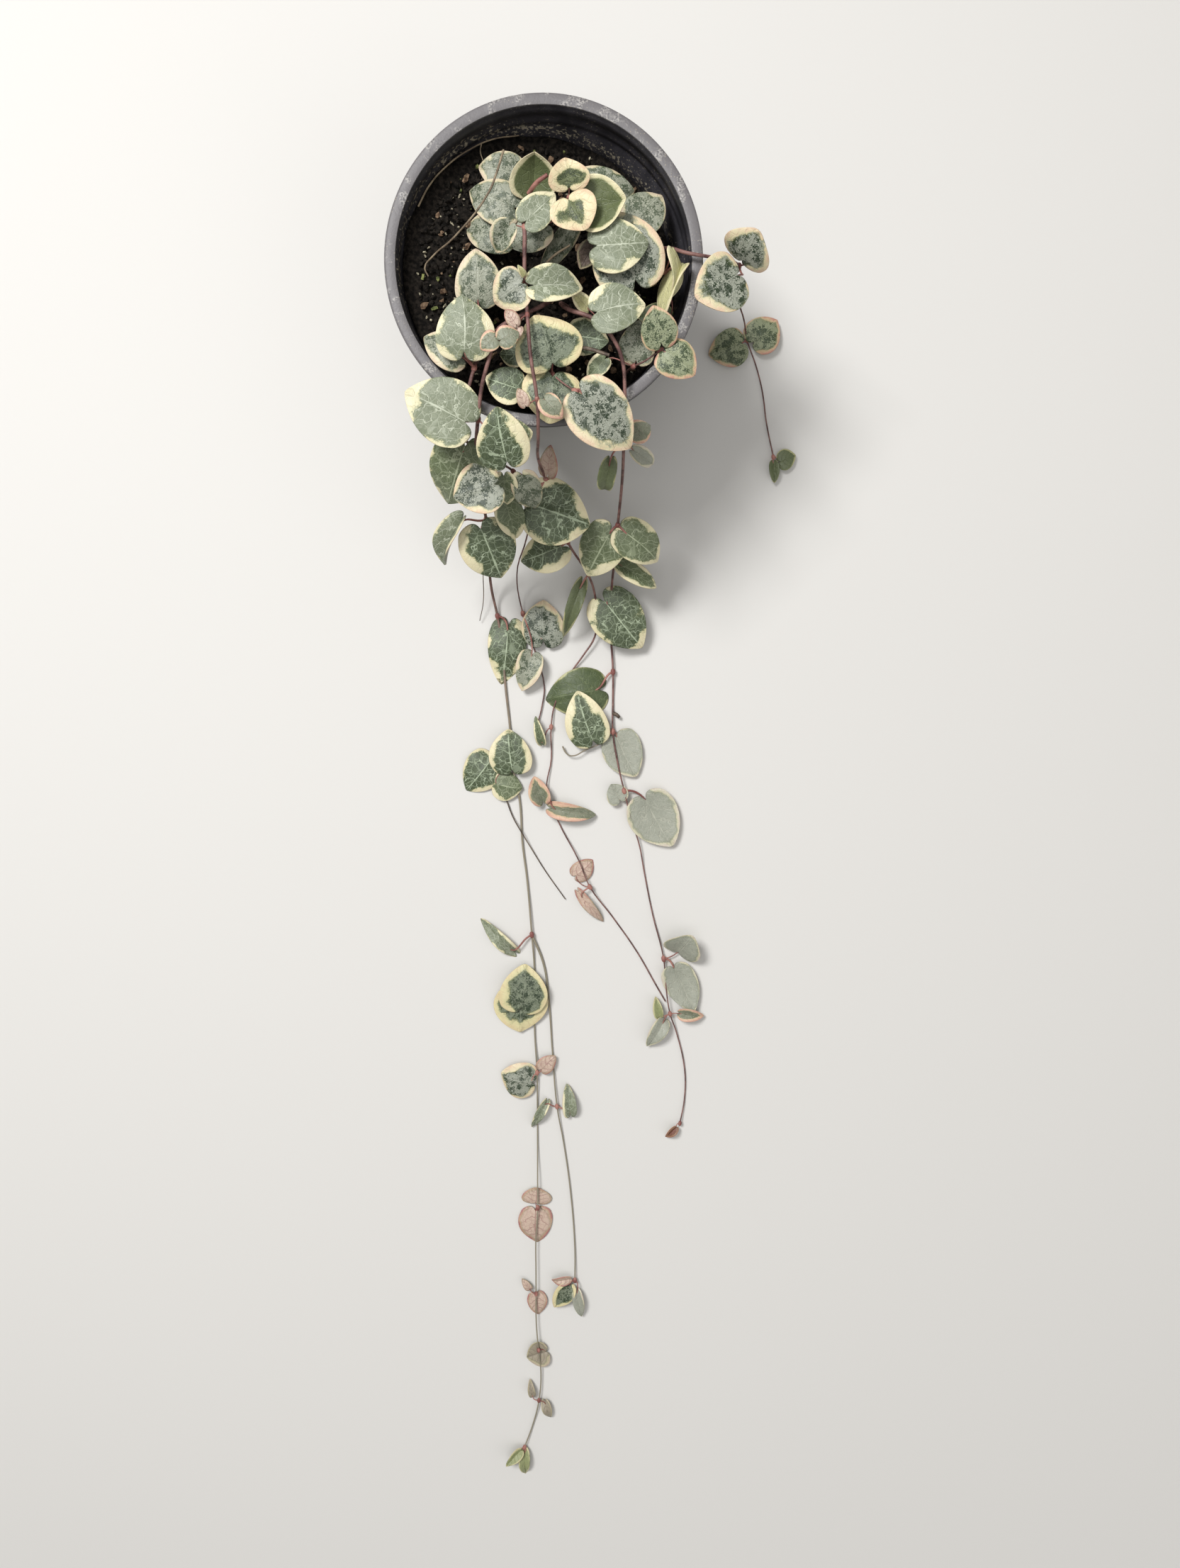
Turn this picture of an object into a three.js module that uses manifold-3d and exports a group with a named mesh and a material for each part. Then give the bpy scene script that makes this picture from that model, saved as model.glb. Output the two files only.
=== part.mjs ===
// Potted string of hearts: a trailing plant with paired heart-shaped leaves in a round
// nursery pot. Its vines climb over the rim, drop to the ground and lie along it.
// Millimetres, +Z up. The origin is the centre of the pot's base, the vines trail to -Y.
import * as THREE from "three";
import { mergeVertices } from "three/addons/utils/BufferGeometryUtils.js";
import Module from "manifold-3d";

const wasm = await Module();
wasm.setup();

// The pot.
const RIM_RADIUS = 55; // outside of the lip
const POT_HEIGHT = 92; // floor to the top of the lip
const BASE_RADIUS = 39; // outside, at the ground
const WALL = 1.8; // side wall
const LIP_WIDTH = 4; // flat top of the lip
const COLLAR_HEIGHT = 12; // the thicker band below the lip
const COLLAR_WALL = 2.6; // wall of that band
const LIP_THICKNESS = 2.4;
const POT_FLOOR = 3;
const DRAIN_RADIUS = 3.5;
const DRAIN_COUNT = 6;
const DRAIN_CIRCLE = 25; // circle that the drain holes' centres lie on

// The soil and the plant.
const SOIL_BELOW_RIM = 20; // from the top of the lip to the soil, at the middle
const SOIL_TILT = 0.2; // rise of the soil towards -X, per millimetre
const SOIL_LUMPS = 1.6; // height of the soil's bumps
const LEAF_THICKNESS = 1.5; // a fleshy leaf, at its midrib
const LEAF_SCALE = 1; // all leaves larger or smaller
const PETIOLE_RADIUS = 0.5; // leaf stalk
const NODE_WALL = 0.9; // swelling round the stem where its leaves leave it
const GAP = 0.3; // between neighbouring solids

// The routes below are drawn round a pot of this size, and follow the real one: over the
// pot they scale with its radius, outside they keep their distance from its rim, and
// above GROUND_LAYER their heights follow its height. Inside the pot, what is drawn up to
// NEAR_SOIL keeps its height over the soil.
const DRAWN_RADIUS = 55;
const DRAWN_HEIGHT = 92;
const DRAWN_SOIL = 72;
const NEAR_SOIL = 86;
const GROUND_LAYER = 9;

function follow([x, y, z]) {
  const out = Math.hypot(x, y);
  const grown = RIM_RADIUS - DRAWN_RADIUS;
  const spread = out < DRAWN_RADIUS ? RIM_RADIUS / DRAWN_RADIUS : (out + grown) / out;
  let height = z;
  const soilRise = POT_HEIGHT - SOIL_BELOW_RIM - DRAWN_SOIL;
  const rimRise = POT_HEIGHT - DRAWN_HEIGHT;
  if (z > DRAWN_HEIGHT) height = z + rimRise;
  else if (out < DRAWN_RADIUS) {
    const share = THREE.MathUtils.clamp((z - NEAR_SOIL) / (DRAWN_HEIGHT - NEAR_SOIL), 0, 1);
    height = z + soilRise + share * (rimRise - soilRise);
  } else if (z > GROUND_LAYER) {
    const share = (z - GROUND_LAYER) / (DRAWN_HEIGHT - GROUND_LAYER);
    height = GROUND_LAYER + share * (POT_HEIGHT - GROUND_LAYER);
  }
  return new THREE.Vector3(x * spread, y * spread, height);
}

// ---------------------------------------------------------------- solids and meshes

function toSolid(geometry) {
  const bare = geometry.clone();
  bare.deleteAttribute("normal");
  bare.deleteAttribute("uv");
  const merged = mergeVertices(bare, 1e-4);
  return new wasm.Manifold(new wasm.Mesh({
    numProp: 3,
    vertProperties: new Float32Array(merged.attributes.position.array),
    triVerts: new Uint32Array(merged.index.array),
  }));
}

function toMesh(name, solid, colour, roughness) {
  const mesh = solid.getMesh();
  const geometry = new THREE.BufferGeometry();
  geometry.setAttribute("position", new THREE.BufferAttribute(mesh.vertProperties, 3));
  geometry.setIndex(new THREE.BufferAttribute(mesh.triVerts, 1));
  geometry.computeVertexNormals();
  const material = new THREE.MeshStandardMaterial({ color: colour, roughness, metalness: 0 });
  const node = new THREE.Mesh(geometry, material);
  node.name = name;
  return node;
}

// A round rod of a few flat sides along a curve.
function rod(curve, radius, sides, steps) {
  const section = new THREE.Shape();
  for (let i = 0; i < sides; i += 1) {
    const turn = (2 * Math.PI * i) / sides;
    const x = radius * Math.cos(turn);
    const y = radius * Math.sin(turn);
    if (i === 0) section.moveTo(x, y);
    else section.lineTo(x, y);
  }
  section.closePath();
  const shape = { steps, bevelEnabled: false, extrudePath: curve };
  return toSolid(new THREE.ExtrudeGeometry(section, shape));
}

// ---------------------------------------------------------------- the pot

const collarFoot = POT_HEIGHT - COLLAR_HEIGHT;
const lipFoot = POT_HEIGHT - LIP_THICKNESS;
const mouthRadius = RIM_RADIUS - LIP_WIDTH;
const bodyTopRadius = mouthRadius + COLLAR_WALL - WALL; // outside, just below the collar
const slope = (bodyTopRadius - BASE_RADIUS) / collarFoot;
const EDGE = 0.8; // rounding of the lip and of the foot

const outsideAt = (z) => BASE_RADIUS + slope * z;
const insideAt = (z) => outsideAt(z) - WALL;

function pot() {
  const profile = [
    [0, 0],
    [BASE_RADIUS - EDGE, 0],
    [BASE_RADIUS, EDGE],
    [bodyTopRadius, collarFoot],
    [bodyTopRadius + COLLAR_WALL / 2, collarFoot],
    [mouthRadius + COLLAR_WALL, lipFoot],
    [RIM_RADIUS, lipFoot],
    [RIM_RADIUS, POT_HEIGHT - EDGE],
    [RIM_RADIUS - EDGE, POT_HEIGHT],
    [mouthRadius + EDGE, POT_HEIGHT],
    [mouthRadius, POT_HEIGHT - EDGE],
    [mouthRadius - EDGE, collarFoot],
    [insideAt(collarFoot - EDGE), collarFoot - EDGE],
    [insideAt(POT_FLOOR), POT_FLOOR],
    [0, POT_FLOOR],
  ];
  const points = profile.map(([r, z]) => new THREE.Vector2(r, z));
  const shell = new THREE.LatheGeometry(points, 36);
  shell.rotateX(Math.PI / 2);
  let solid = toSolid(shell);
  for (let i = 0; i < DRAIN_COUNT; i += 1) {
    const turn = (2 * Math.PI * i) / DRAIN_COUNT;
    const drill = new THREE.CylinderGeometry(DRAIN_RADIUS, DRAIN_RADIUS, 3 * POT_FLOOR, 10);
    drill.rotateX(Math.PI / 2);
    drill.translate(DRAIN_CIRCLE * Math.cos(turn), DRAIN_CIRCLE * Math.sin(turn), 0);
    solid = solid.subtract(toSolid(drill));
  }
  return solid;
}

// ---------------------------------------------------------------- the soil

const soilTop = POT_HEIGHT - SOIL_BELOW_RIM;

function soil() {
  const foot = POT_FLOOR + GAP;
  const edge = insideAt(soilTop) - GAP - 0.1;
  const points = [
    new THREE.Vector2(0, foot),
    new THREE.Vector2(insideAt(foot) - GAP - 0.1, foot),
    new THREE.Vector2(edge, soilTop),
    new THREE.Vector2(edge * 0.8, soilTop),
    new THREE.Vector2(edge * 0.6, soilTop),
    new THREE.Vector2(edge * 0.4, soilTop),
    new THREE.Vector2(edge * 0.2, soilTop),
    new THREE.Vector2(0, soilTop),
  ];
  const plug = new THREE.LatheGeometry(points, 24);
  plug.rotateX(Math.PI / 2);
  const position = plug.attributes.position;
  for (let i = 0; i < position.count; i += 1) {
    const x = position.getX(i);
    const y = position.getY(i);
    const waves = Math.sin(x * 0.31 + 1) * Math.cos(y * 0.27) + Math.sin(x * 0.13 - y * 0.19);
    if (position.getZ(i) < soilTop - GAP) continue;
    const height = soilTop - SOIL_TILT * x + 0.5 * SOIL_LUMPS * waves;
    const wall = Math.min(insideAt(height), mouthRadius - EDGE) - GAP - 0.1;
    position.setXYZ(i, (x * wall) / edge, (y * wall) / edge, height);
  }
  return toSolid(plug);
}

// ---------------------------------------------------------------- leaves and stems

const PETIOLE_SIDES = 3;
const PETIOLE_STEPS = 3;

const NEAR_RING = 2 / 3; // share of the length between the tip and the ring near the notch
const LOBE_DEPTH = 0.53; // how far that ring is drawn back, as a share of the length

// One heart-shaped leaf lying along +Y with its notch at the origin. A flattened ball with
// its poles at notch and tip: the ring next to the notch is drawn back into two lobes.
function leaf(length, width, foldDegrees, bendDegrees) {
  const ball = new THREE.SphereGeometry(1, 8, 3);
  const position = ball.attributes.position;
  const fold = THREE.MathUtils.degToRad(foldDegrees);
  const bend = THREE.MathUtils.degToRad(bendDegrees || 0.01);
  for (let i = 0; i < position.count; i += 1) {
    const polar = Math.acos(THREE.MathUtils.clamp(position.getY(i), -1, 1));
    const ring = Math.max(Math.sin(polar), 1e-6);
    const across = Math.abs(position.getX(i)) < 1e-6 ? 0 : position.getX(i) / ring;
    const side = Math.abs(position.getZ(i)) < 1e-6 ? 0 : position.getZ(i) / ring;
    const along = 1 - polar / Math.PI;
    const pole = ring < 1e-3;
    const half = pole ? 0 : 0.5 * width * Math.cos(0.5 * Math.PI * along ** 1.6) ** 0.8 * across;
    const lobe = pole ? 0 : Math.sin(0.75 * Math.PI * Math.abs(across) ** 1.5);
    const run = length * (along - LOBE_DEPTH * lobe * ((1 - along) / NEAR_RING) ** 2);
    const thick = pole ? 0 : 0.5 * LEAF_THICKNESS * side * Math.sqrt(ring);
    const spine = length / bend;
    const x = half * Math.cos(fold) - Math.sign(half) * thick * Math.sin(fold);
    const rise = Math.abs(half) * Math.sin(fold) + thick * Math.cos(fold);
    const y = (spine - rise) * Math.sin(run / spine);
    position.setXYZ(i, x, y, spine - (spine - rise) * Math.cos(run / spine));
  }
  return ball;
}

// A leaf in its place, with the stalk that joins it to its node on the stem.
function leafOnStalk(node, tangent, drawnNode, row) {
  const [x, y, z, heading, pitch, roll, length, width, fold, bend] = row;
  const notch = new THREE.Vector3(x, y, z).sub(new THREE.Vector3(...drawnNode)).add(node);
  const turn = new THREE.Euler(
    THREE.MathUtils.degToRad(pitch),
    THREE.MathUtils.degToRad(roll),
    THREE.MathUtils.degToRad(heading - 90),
    "ZXY",
  );
  const place = new THREE.Matrix4().makeRotationFromEuler(turn).setPosition(notch);
  const size = length * LEAF_SCALE;
  const blade = leaf(size, width * LEAF_SCALE, fold, bend);
  blade.applyMatrix4(place);
  const inside = new THREE.Vector3(0, 0.2 * size, 0).applyMatrix4(place);
  const span = node.distanceTo(notch);
  const behind = new THREE.Vector3(0, -0.35 * span, 0).applyMatrix4(place);
  const sideways = notch.clone().sub(node).projectOnPlane(tangent).normalize();
  const start = node.clone().addScaledVector(sideways, 1.5 + 0.25 * span);
  const route = new THREE.CubicBezierCurve3(node, start, behind, inside);
  return toSolid(blade).add(rod(route, PETIOLE_RADIUS, PETIOLE_SIDES, PETIOLE_STEPS));
}

function leafCluster(node, tangent, drawnNode, stemRadius, rows) {
  const width = 2 * (stemRadius + NODE_WALL);
  const bead = new THREE.BoxGeometry(width, width, width);
  bead.translate(node.x, node.y, node.z);
  let solid = toSolid(bead);
  for (const row of rows) solid = solid.add(leafOnStalk(node, tangent, drawnNode, row));
  return solid;
}

// ---------------------------------------------------------------- the plant's routes

// Each vine: its radius, the points that it runs through from the soil to its tip, the
// leaves at its growing tip, and its nodes. A node is [index of its point, leaves]. A leaf
// is [notch x, y, z, heading, pitch, roll, length, width, fold, bend], angles in degrees.
const VINES = {
  centre: {
    radius: 0.75,
    points: [
      [-6, 26, 54], [-6, 25, 66], [-8, 15, 92], [-6, 8, 102], [-6, -2, 102], [-6, -10, 102],
      [-5, -21, 105], [-4, -34, 106.5], [-2, -48, 103], [-2, -58, 95], [-3, -63, 76],
      [-1, -68, 52], [7, -90, 34], [15, -102, 22], [18, -110, 12], [19, -120, 7],
      [18, -128, 4], [13, -136, 2.5], [8, -143, 1], [1, -156, 1], [-1, -167, 2], [-1, -181, 1],
      [-3, -195, 2], [2, -209, 1], [11, -226, 3], [16, -238, 3.2], [26, -252, 1], [37, -268, 1],
      [46, -284, 1],
    ],
    tip: [],
    nodes: [
      [3, [
        [-11, 8, 103, -130, -30, 0, 10, 11, 35, 0],
        [-5, 10, 102.5, 42, -5, 0, 13, 12, 10, 8],
      ]],
      [5, [
        [-7, -11, 105, -151, -12, 0, 12, 15, 10, -20],
        [-6, -9, 108, 130, 45, 0, 4, 3, 40, 0],
        [-2, -12, 107, 0, -4, 0, 16, 15, 35, 0],
      ]],
      [6, [
        [-9, -24, 106, 124, 0, 0, 6, 5, 20, 0],
        [-8, -25, 105, -125, -12, 0, 6.5, 5, 20, 0],
      ]],
      [8, [
        [-6, -50, 104, 114, 8, 0, 6, 5, 30, 0],
        [1, -49, 106, -48, 0, 0, 8, 8.5, 25, 0],
      ]],
      [11, [
        [-5, -78, 53, -14, -12, 0, 23, 26, 8, 0],
        [0, -66, 56, 82, 45, 0, 12, 8, 20, 0],
        [-4, -71, 53, -114, -13, 0, 13, 6, 30, 0],
      ]],
      [12, [[4, -92, 35, -161, -10, 0, 18, 17, 8, 0]]],
      [20, [[-5, -174, 4, 104, 14, 0, 12, 5.5, 36, 0]]],
      [22, [
        [-5, -199, 3, 110, 0, 0, 11, 13, 45, 0],
        [0, -203, 4, -9, 0, 0, 19, 10, 36, 0],
      ]],
      [25, [
        [10, -233, 1.5, 40, 0, 0, 10, 9.5, 4, 0],
        [12, -242, 4.2, -50, 0, 0, 16, 6, 36, 0],
      ]],
    ],
  },
  left: {
    radius: 0.75,
    points: [
      [3, -4, 54], [3, -5, 66], [1, -14, 93], [-3, -18, 100], [-9, -21, 101.5], [-16, -26, 102],
      [-18, -33, 101], [-21, -42, 98], [-23, -53, 94], [-25, -63, 82], [-26, -71, 62],
      [-25, -82, 42], [-26, -94, 22], [-26, -108, 7], [-24, -119, 2], [-22, -133, 1],
      [-21, -148, 1], [-19, -168, 1], [-18, -184, 2], [-15, -200, 1], [-14, -218, 1],
      [-12, -235, 1], [-10, -260, 2], [-9, -275, 1], [-9, -290, 2], [-9, -306, 1],
      [-8, -324, 2], [-8, -340, 1], [-8, -358, 1], [-8, -375, 3], [-8, -388, 3.2],
      [-9, -405, 3], [-9, -418, 3], [-9, -430, 3.2], [-9, -444, 3], [-8, -458, 3.2],
      [-7, -470, 2], [-8, -484, 2], [-11, -497, 1], [-15, -508, 2],
    ],
    tip: [
      [-17, -509, 3, -141, 0, 0, 9, 7, 40, 60],
      [-15, -510, 2.5, -88, 0, 0, 13, 7, 40, 0],
    ],
    nodes: [
      [5, [
        [-23, -12, 90, 91, 14, 0, 17, 16.5, 8, -10],
        [-16, -29, 108, -143, 0, 0, 6, 7, 10, 0],
        [-13.5, -30, 109, 26, 0, 0, 6.5, 8, 10, 0],
      ]],
      [8, [
        [-28, -54, 97, 154, 0, 0, 22, 23.5, 6, 10],
        [-17, -60, 94, 8, 0, 0, 13.5, 15, 8, 0],
      ]],
      [9, [
        [-29, -62, 86, -112, -34, 0, 25, 22, 6, 0],
        [-13, -67, 97, 102, 28, 0, 18, 19, 10, 0],
        [-19, -74, 83, -161, 0, 0, 15, 19, 10, -10],
      ]],
      [11, [
        [-34, -84, 52, -121, -26, 30, 21, 16, 55, 0],
        [-26, -87, 50, -68, -26, 0, 22, 23, 8, 0],
      ]],
      [14, [[-19.5, -124, 2.7, -97, 0, 0, 25, 17, 4, 0]]],
      [18, [
        [-18, -185, 5, 93, 0, 0, 17.5, 19, 5, 0],
        [-28, -182, 2.4, -131, 0, 0, 17, 18, 5, 0],
        [-25, -192, 2.8, -7, 0, 0, 11.5, 14, 5, 0],
      ]],
      [22, [[-19, -267, 3.5, 135, 0, 0, 20, 8.5, 36, 0]]],
      [24, [
        [-15, -292, 5, 81, 0, 0, 19.5, 22, 6, 0],
        [-15, -287, 2.8, -88, 0, 0, 18, 25, 5, 0],
      ]],
      [26, [
        [-11, -328, 3, 168, 0, 0, 14, 17.5, 6, 0],
        [-6, -322, 3, 46, 0, 0, 9, 8, 10, 0],
      ]],
      [30, [
        [-9, -386, 1.3, 84, 0, 0, 7, 14, 4, 0],
        [-9, -391, 1.3, -88, 0, 0, 15.5, 16, 4, 0],
      ]],
      [33, [
        [-9, -432, 1.3, -81, 0, 0, 9.5, 9.5, 4, 0],
        [-12, -428, 2.5, 127, 0, 0, 6, 4, 20, 0],
      ]],
      [35, [[-5, -460, 1.3, -163, 0, 180, 9, 13, -4, 0]]],
      [37, [
        [-11, -481, 3, 100, 0, 0, 7.5, 4, 30, 0],
        [-5, -485, 3, -75, 0, 0, 9, 5, 20, 0],
      ]],
    ],
  },
  right: {
    radius: 0.75,
    points: [
      [10, -8, 54], [9, -9, 66], [6, -14, 92], [9, -18, 100], [18, -22, 102.5], [24, -28, 101],
      [27, -34, 98.5], [28, -43, 96], [28, -54, 94], [28, -61, 86], [28, -71, 62],
      [27, -84, 40], [26, -97, 24], [25, -111, 9], [25, -126, 2.5], [26, -143, 2],
      [26, -156, 1], [26, -169, 2.6], [28, -182, 3.2], [31, -195, 3.4], [34, -207, 3.4],
      [38, -220, 2.5], [40, -231, 1], [44, -251, 1], [49, -271, 2.2], [50, -283, 3.2],
      [52, -296, 3.4], [55, -305, 1.5], [59, -323, 1], [59, -337, 1], [57, -348, 2],
    ],
    tip: [[55, -350, 2.5, -136, 0, 0, 6.5, 5, 40, 0]],
    nodes: [
      [4, [
        [19, -20, 105, 12, 0, 0, 16, 16.5, 8, 0],
        [15, -17, 99, 137, 14, 0, 8, 6.5, 30, 20],
      ]],
      [9, [
        [23, -66, 78, -102, -44, 0, 17, 8, 36, 0],
        [32, -62, 82, -26, -43, 0, 12, 8, 36, 0],
        [31, -57, 87, 30, -35, 0, 10, 9, 10, 0],
      ]],
      [11, [
        [24, -87, 40, -120, -26, 0, 22, 19, 8, 0],
        [30, -87, 41, -39, -18, 0, 19.5, 17, 8, 0],
      ]],
      [12, [
        [29, -99, 25, -30, -12, 0, 18, 12, 45, 0],
        [12, -107, 16, -110, -5, 0, 23, 8, 36, 0],
      ]],
      [13, [[23, -114, 12, -51, -8, 0, 25, 23, 8, 0]]],
      [15, [[19, -151, 2.5, -172, 0, 0, 23, 21.5, 5, 0]]],
      [17, [
        [17, -172, 5.5, 109, 4, 0, 22, 19, 8, 0],
        [28, -172, 1.3, -62, 0, 180, 19, 18, -4, 0],
      ]],
      [19, [
        [29, -199, 3, 120, 0, 180, 8, 10, -4, 0],
        [41, -200, 1.3, -62, 0, 180, 23, 23, -4, 0],
      ]],
      [24, [
        [56, -267, 3, 61, 42, 0, 13.5, 18.5, 20, 0],
        [54, -276, 1.4, -67, 0, 180, 21, 15.5, -5, 0],
      ]],
      [26, [
        [47, -297, 3.5, 100, 0, 0, 9, 5.5, 36, 0],
        [49, -300, 3.5, -122, 5, 0, 13.5, 9.5, 36, 0],
        [57, -296, 3.5, -7, 0, 0, 10.5, 8, 40, 0],
      ]],
    ],
  },
  outer: {
    radius: 0.75,
    points: [
      [-21, -24, 54], [-21, -25, 66], [-23, -31, 88], [-24, -36, 95], [-26, -43, 95.5],
      [-28, -52, 93.4], [-29, -57, 88], [-26, -60, 78], [-20, -63, 69], [-13, -66, 60],
      [-7, -76, 44], [-10, -88, 26], [-15, -102, 10], [-13, -118, 2], [-8, -134, 1],
      [-4, -149, 1], [-5, -158, 1], [-7, -166, 1],
    ],
    tip: [],
    nodes: [
      [3, [
        [-26.5, -32, 104, 89, 5, 0, 17.5, 20.5, 6, 5],
        [-28, -33, 99, 151, 0, 0, 15, 13, 6, 0],
      ]],
      [9, [
        [-16, -77, 56, -77, -27, 0, 16, 13, 30, 0],
        [-16, -69, 68, -88, -32, 0, 11, 11, 20, 0],
        [-9, -69, 68, -69, -38, 0, 16, 12, 20, 0],
      ]],
      [13, [
        [-4, -129, 5, 88, 0, 0, 17, 19, 6, 0],
        [-9, -136, 5.2, -109, 0, 0, 16, 13, 25, 0],
      ]],
    ],
  },
  side: {
    radius: 0.75,
    points: [
      [38, 11, 54], [39, 10, 66], [44, 5, 90], [49, 2, 95], [56, 1, 94.5], [63, 2, 88],
      [69, 3, 78], [70, 5, 60], [72, 6, 44], [76, 4, 24], [80, 1, 9], [82, -4, 2],
      [86, -14, 1], [89, -25, 1], [91, -38, 1], [94, -52, 2],
    ],
    tip: [
      [94, -55, 3, -87, 0, 0, 8, 5.5, 36, 0],
      [97, -54, 3, 18, 0, 0, 7, 9, 10, 0],
    ],
    nodes: [
      [6, [
        [66, -5, 93, -153, 15, 0, 17, 20.5, 6, 0],
        [69, 2, 88, 54, 62, 0, 13, 18.5, 8, 0],
      ]],
      [11, [
        [79, -6, 4, -160, 0, 0, 14, 16, 6, 0],
        [85, -5, 4, 41, 0, 0, 13, 16, 8, 0],
      ]],
    ],
  },
  red: {
    radius: 0.7,
    points: [
      [29, -31, 54], [29, -32, 66], [30, -34, 84], [31, -35, 93], [35, -34, 97], [40, -31, 99],
    ],
    tip: [
      [40, -29, 102, 104, 22, 0, 12, 13, 10, 0],
      [42, -32, 101, -41, 0, 0, 12.5, 14, 8, 0],
    ],
    nodes: [
      [3, [
        [32, -33, 94, 87, 18, 0, 13, 13, 8, 0],
        [21, -33, 94, -135, -12, 0, 8.5, 7.5, 20, 0],
      ]],
    ],
  },
  fork: {
    radius: 0.5,
    points: [
      [-7, -264, 1], [-5, -273, 1], [-3, -285, 1], [-2, -298, 1], [-1, -315, 1], [1, -340, 2],
      [4, -358, 1], [7, -381, 1], [9, -409, 1], [9, -424, 2],
    ],
    tip: [
      [6, -427, 3, -123, 0, 0, 12, 10, 20, 0],
      [10, -430, 3, -80, 0, 0, 12, 6.5, 36, 0],
      [6, -423, 3, -172, 0, 0, 8, 6, 40, 0],
    ],
    nodes: [
      [5, [
        [-4, -338, 3.5, -118, 0, 0, 14, 5.5, 36, 0],
        [7, -343, 3, 95, 0, 0, 14, 8, 36, 0],
      ]],
    ],
  },
  front: {
    radius: 0.75,
    points: [[0, -31, 54], [0, -31, 66], [2, -34, 84], [3, -38, 95], [7, -42, 99], [11, -45, 101]],
    tip: [[14, -47, 102.5, -45, -8, 0, 24, 22, 6, -10]],
    nodes: [
      [2, [
        [-8, -30, 88, 176, -10, 0, 8, 9, 10, 0],
        [10, -24, 90, -10, 8, 0, 13, 13, 8, 0],
        [-9, -43, 95.5, 163, 0, 0, 12, 13, 8, 0],
      ]],
      [3, [
        [3, -35, 100, 107, 7, 0, 16, 24, 8, 5],
        [3, -40, 97, -96, 2, 0, 15, 21.5, 8, 0],
      ]],
    ],
  },
  back: {
    radius: 0.9,
    points: [[8, 22, 54], [8, 21, 66], [8, 20, 78], [9, 18, 91], [9, 17, 103]],
    tip: [
      [9, 20, 105, 96, 20, 0, 8.5, 15, 22, 0],
      [9, 15, 106, -62, -4, 0, 11, 16.5, 10, 10],
    ],
    nodes: [
      [2, [
        [12, 26, 84, 2, 5, 0, 20, 17, 6, -10],
        [0, 11, 94, -150, -10, 0, 13, 13, 8, 0],
        [17, 5, 92, -124, -28, 0, 8.5, 9, 30, 25],
      ]],
      [3, [
        [14, 15, 100.5, 3, 8, 180, 15, 19, -8, -8],
        [9, 11, 92, -132, -25, 0, 20, 9.5, -36, 0],
      ]],
    ],
  },
  back_left: {
    radius: 0.75,
    points: [[-12, 27, 54], [-12, 26, 66], [-12, 22, 77], [-13, 18, 82]],
    tip: [],
    nodes: [
      [2, [
        [-10, 33, 80, 167, 4, 0, 13.5, 14.5, 8, 0],
        [-4, 25, 86, 85, 24, 180, 14, 17, -12, -30],
        [-11, 20, 86, 157, -8, 0, 17.5, 16, 8, 0],
        [-13, 12, 84, 167, -8, 0, 17, 15, 8, -8],
      ]],
    ],
  },
  back_right: {
    radius: 0.75,
    points: [
      [26, 22, 54], [26, 20, 66], [26, 15, 80], [29, 8, 86], [33, -2, 92], [38, -4, 92],
      [42, -3, 91],
    ],
    tip: [],
    nodes: [
      [2, [
        [32, 15, 86, 51, -5, 0, 14, 15.5, 8, -10],
        [28, 21, 79, 64, 15, 0, 7, 6.5, 36, 0],
      ]],
      [4, [
        [31, -7, 98, 110, 2, 0, 23, 25.5, 6, 0],
        [19, 2, 102.6, 6, 0, 0, 17, 18.5, 8, 0],
      ]],
      [6, [
        [46, -2.5, 95, -118, 0, 60, 19, 12, 10, -15],
        [45, 0.5, 98.5, -82, -4, -62, 14, 10, 10, 0],
        [43, -17, 86, 174, 0, 0, 10.5, 9.5, 10, 0],
      ]],
    ],
  },
};

// ---------------------------------------------------------------- the whole object

const STEM_COLOUR = "#7d5a4c";
const LEAF_COLOUR = "#9fae93";
const POT_COLOUR = "#3b3c42";
const SOIL_COLOUR = "#221f20";
const STEM_SIDES = 5;
const STEPS_PER_POINT = 1.25;

const group = new THREE.Group();
let earth = soil();

for (const [name, vine] of Object.entries(VINES)) {
  const route = new THREE.CatmullRomCurve3(vine.points.map(follow), false, "centripetal");
  const steps = Math.round(STEPS_PER_POINT * vine.points.length);
  const sleeve = rod(route, vine.radius + 1.2 * GAP, STEM_SIDES, steps);
  earth = earth.subtract(sleeve);

  let stem = rod(route, vine.radius, STEM_SIDES, steps);
  if (vine.tip.length > 0) {
    const last = vine.points.length - 1;
    const way = route.getTangent(1);
    stem = stem.add(leafCluster(route.points[last], way, vine.points[last], vine.radius, vine.tip));
  }
  group.add(toMesh(`stem_${name}`, stem, STEM_COLOUR, 0.6));

  vine.nodes.forEach(([index, rows], i) => {
    const drawn = vine.points[index];
    const way = route.getTangent(index / (vine.points.length - 1));
    const leaves = leafCluster(route.points[index], way, drawn, vine.radius, rows);
    group.add(toMesh(`leaves_${name}_${i + 1}`, leaves.subtract(sleeve), LEAF_COLOUR, 0.45));
  });
}

group.add(toMesh("pot", pot(), POT_COLOUR, 0.5));
group.add(toMesh("soil", earth, SOIL_COLOUR, 0.95));

export default group;
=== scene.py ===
import math
import random

import bmesh
import bpy
from mathutils import Euler, Matrix, Vector, noise


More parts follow.
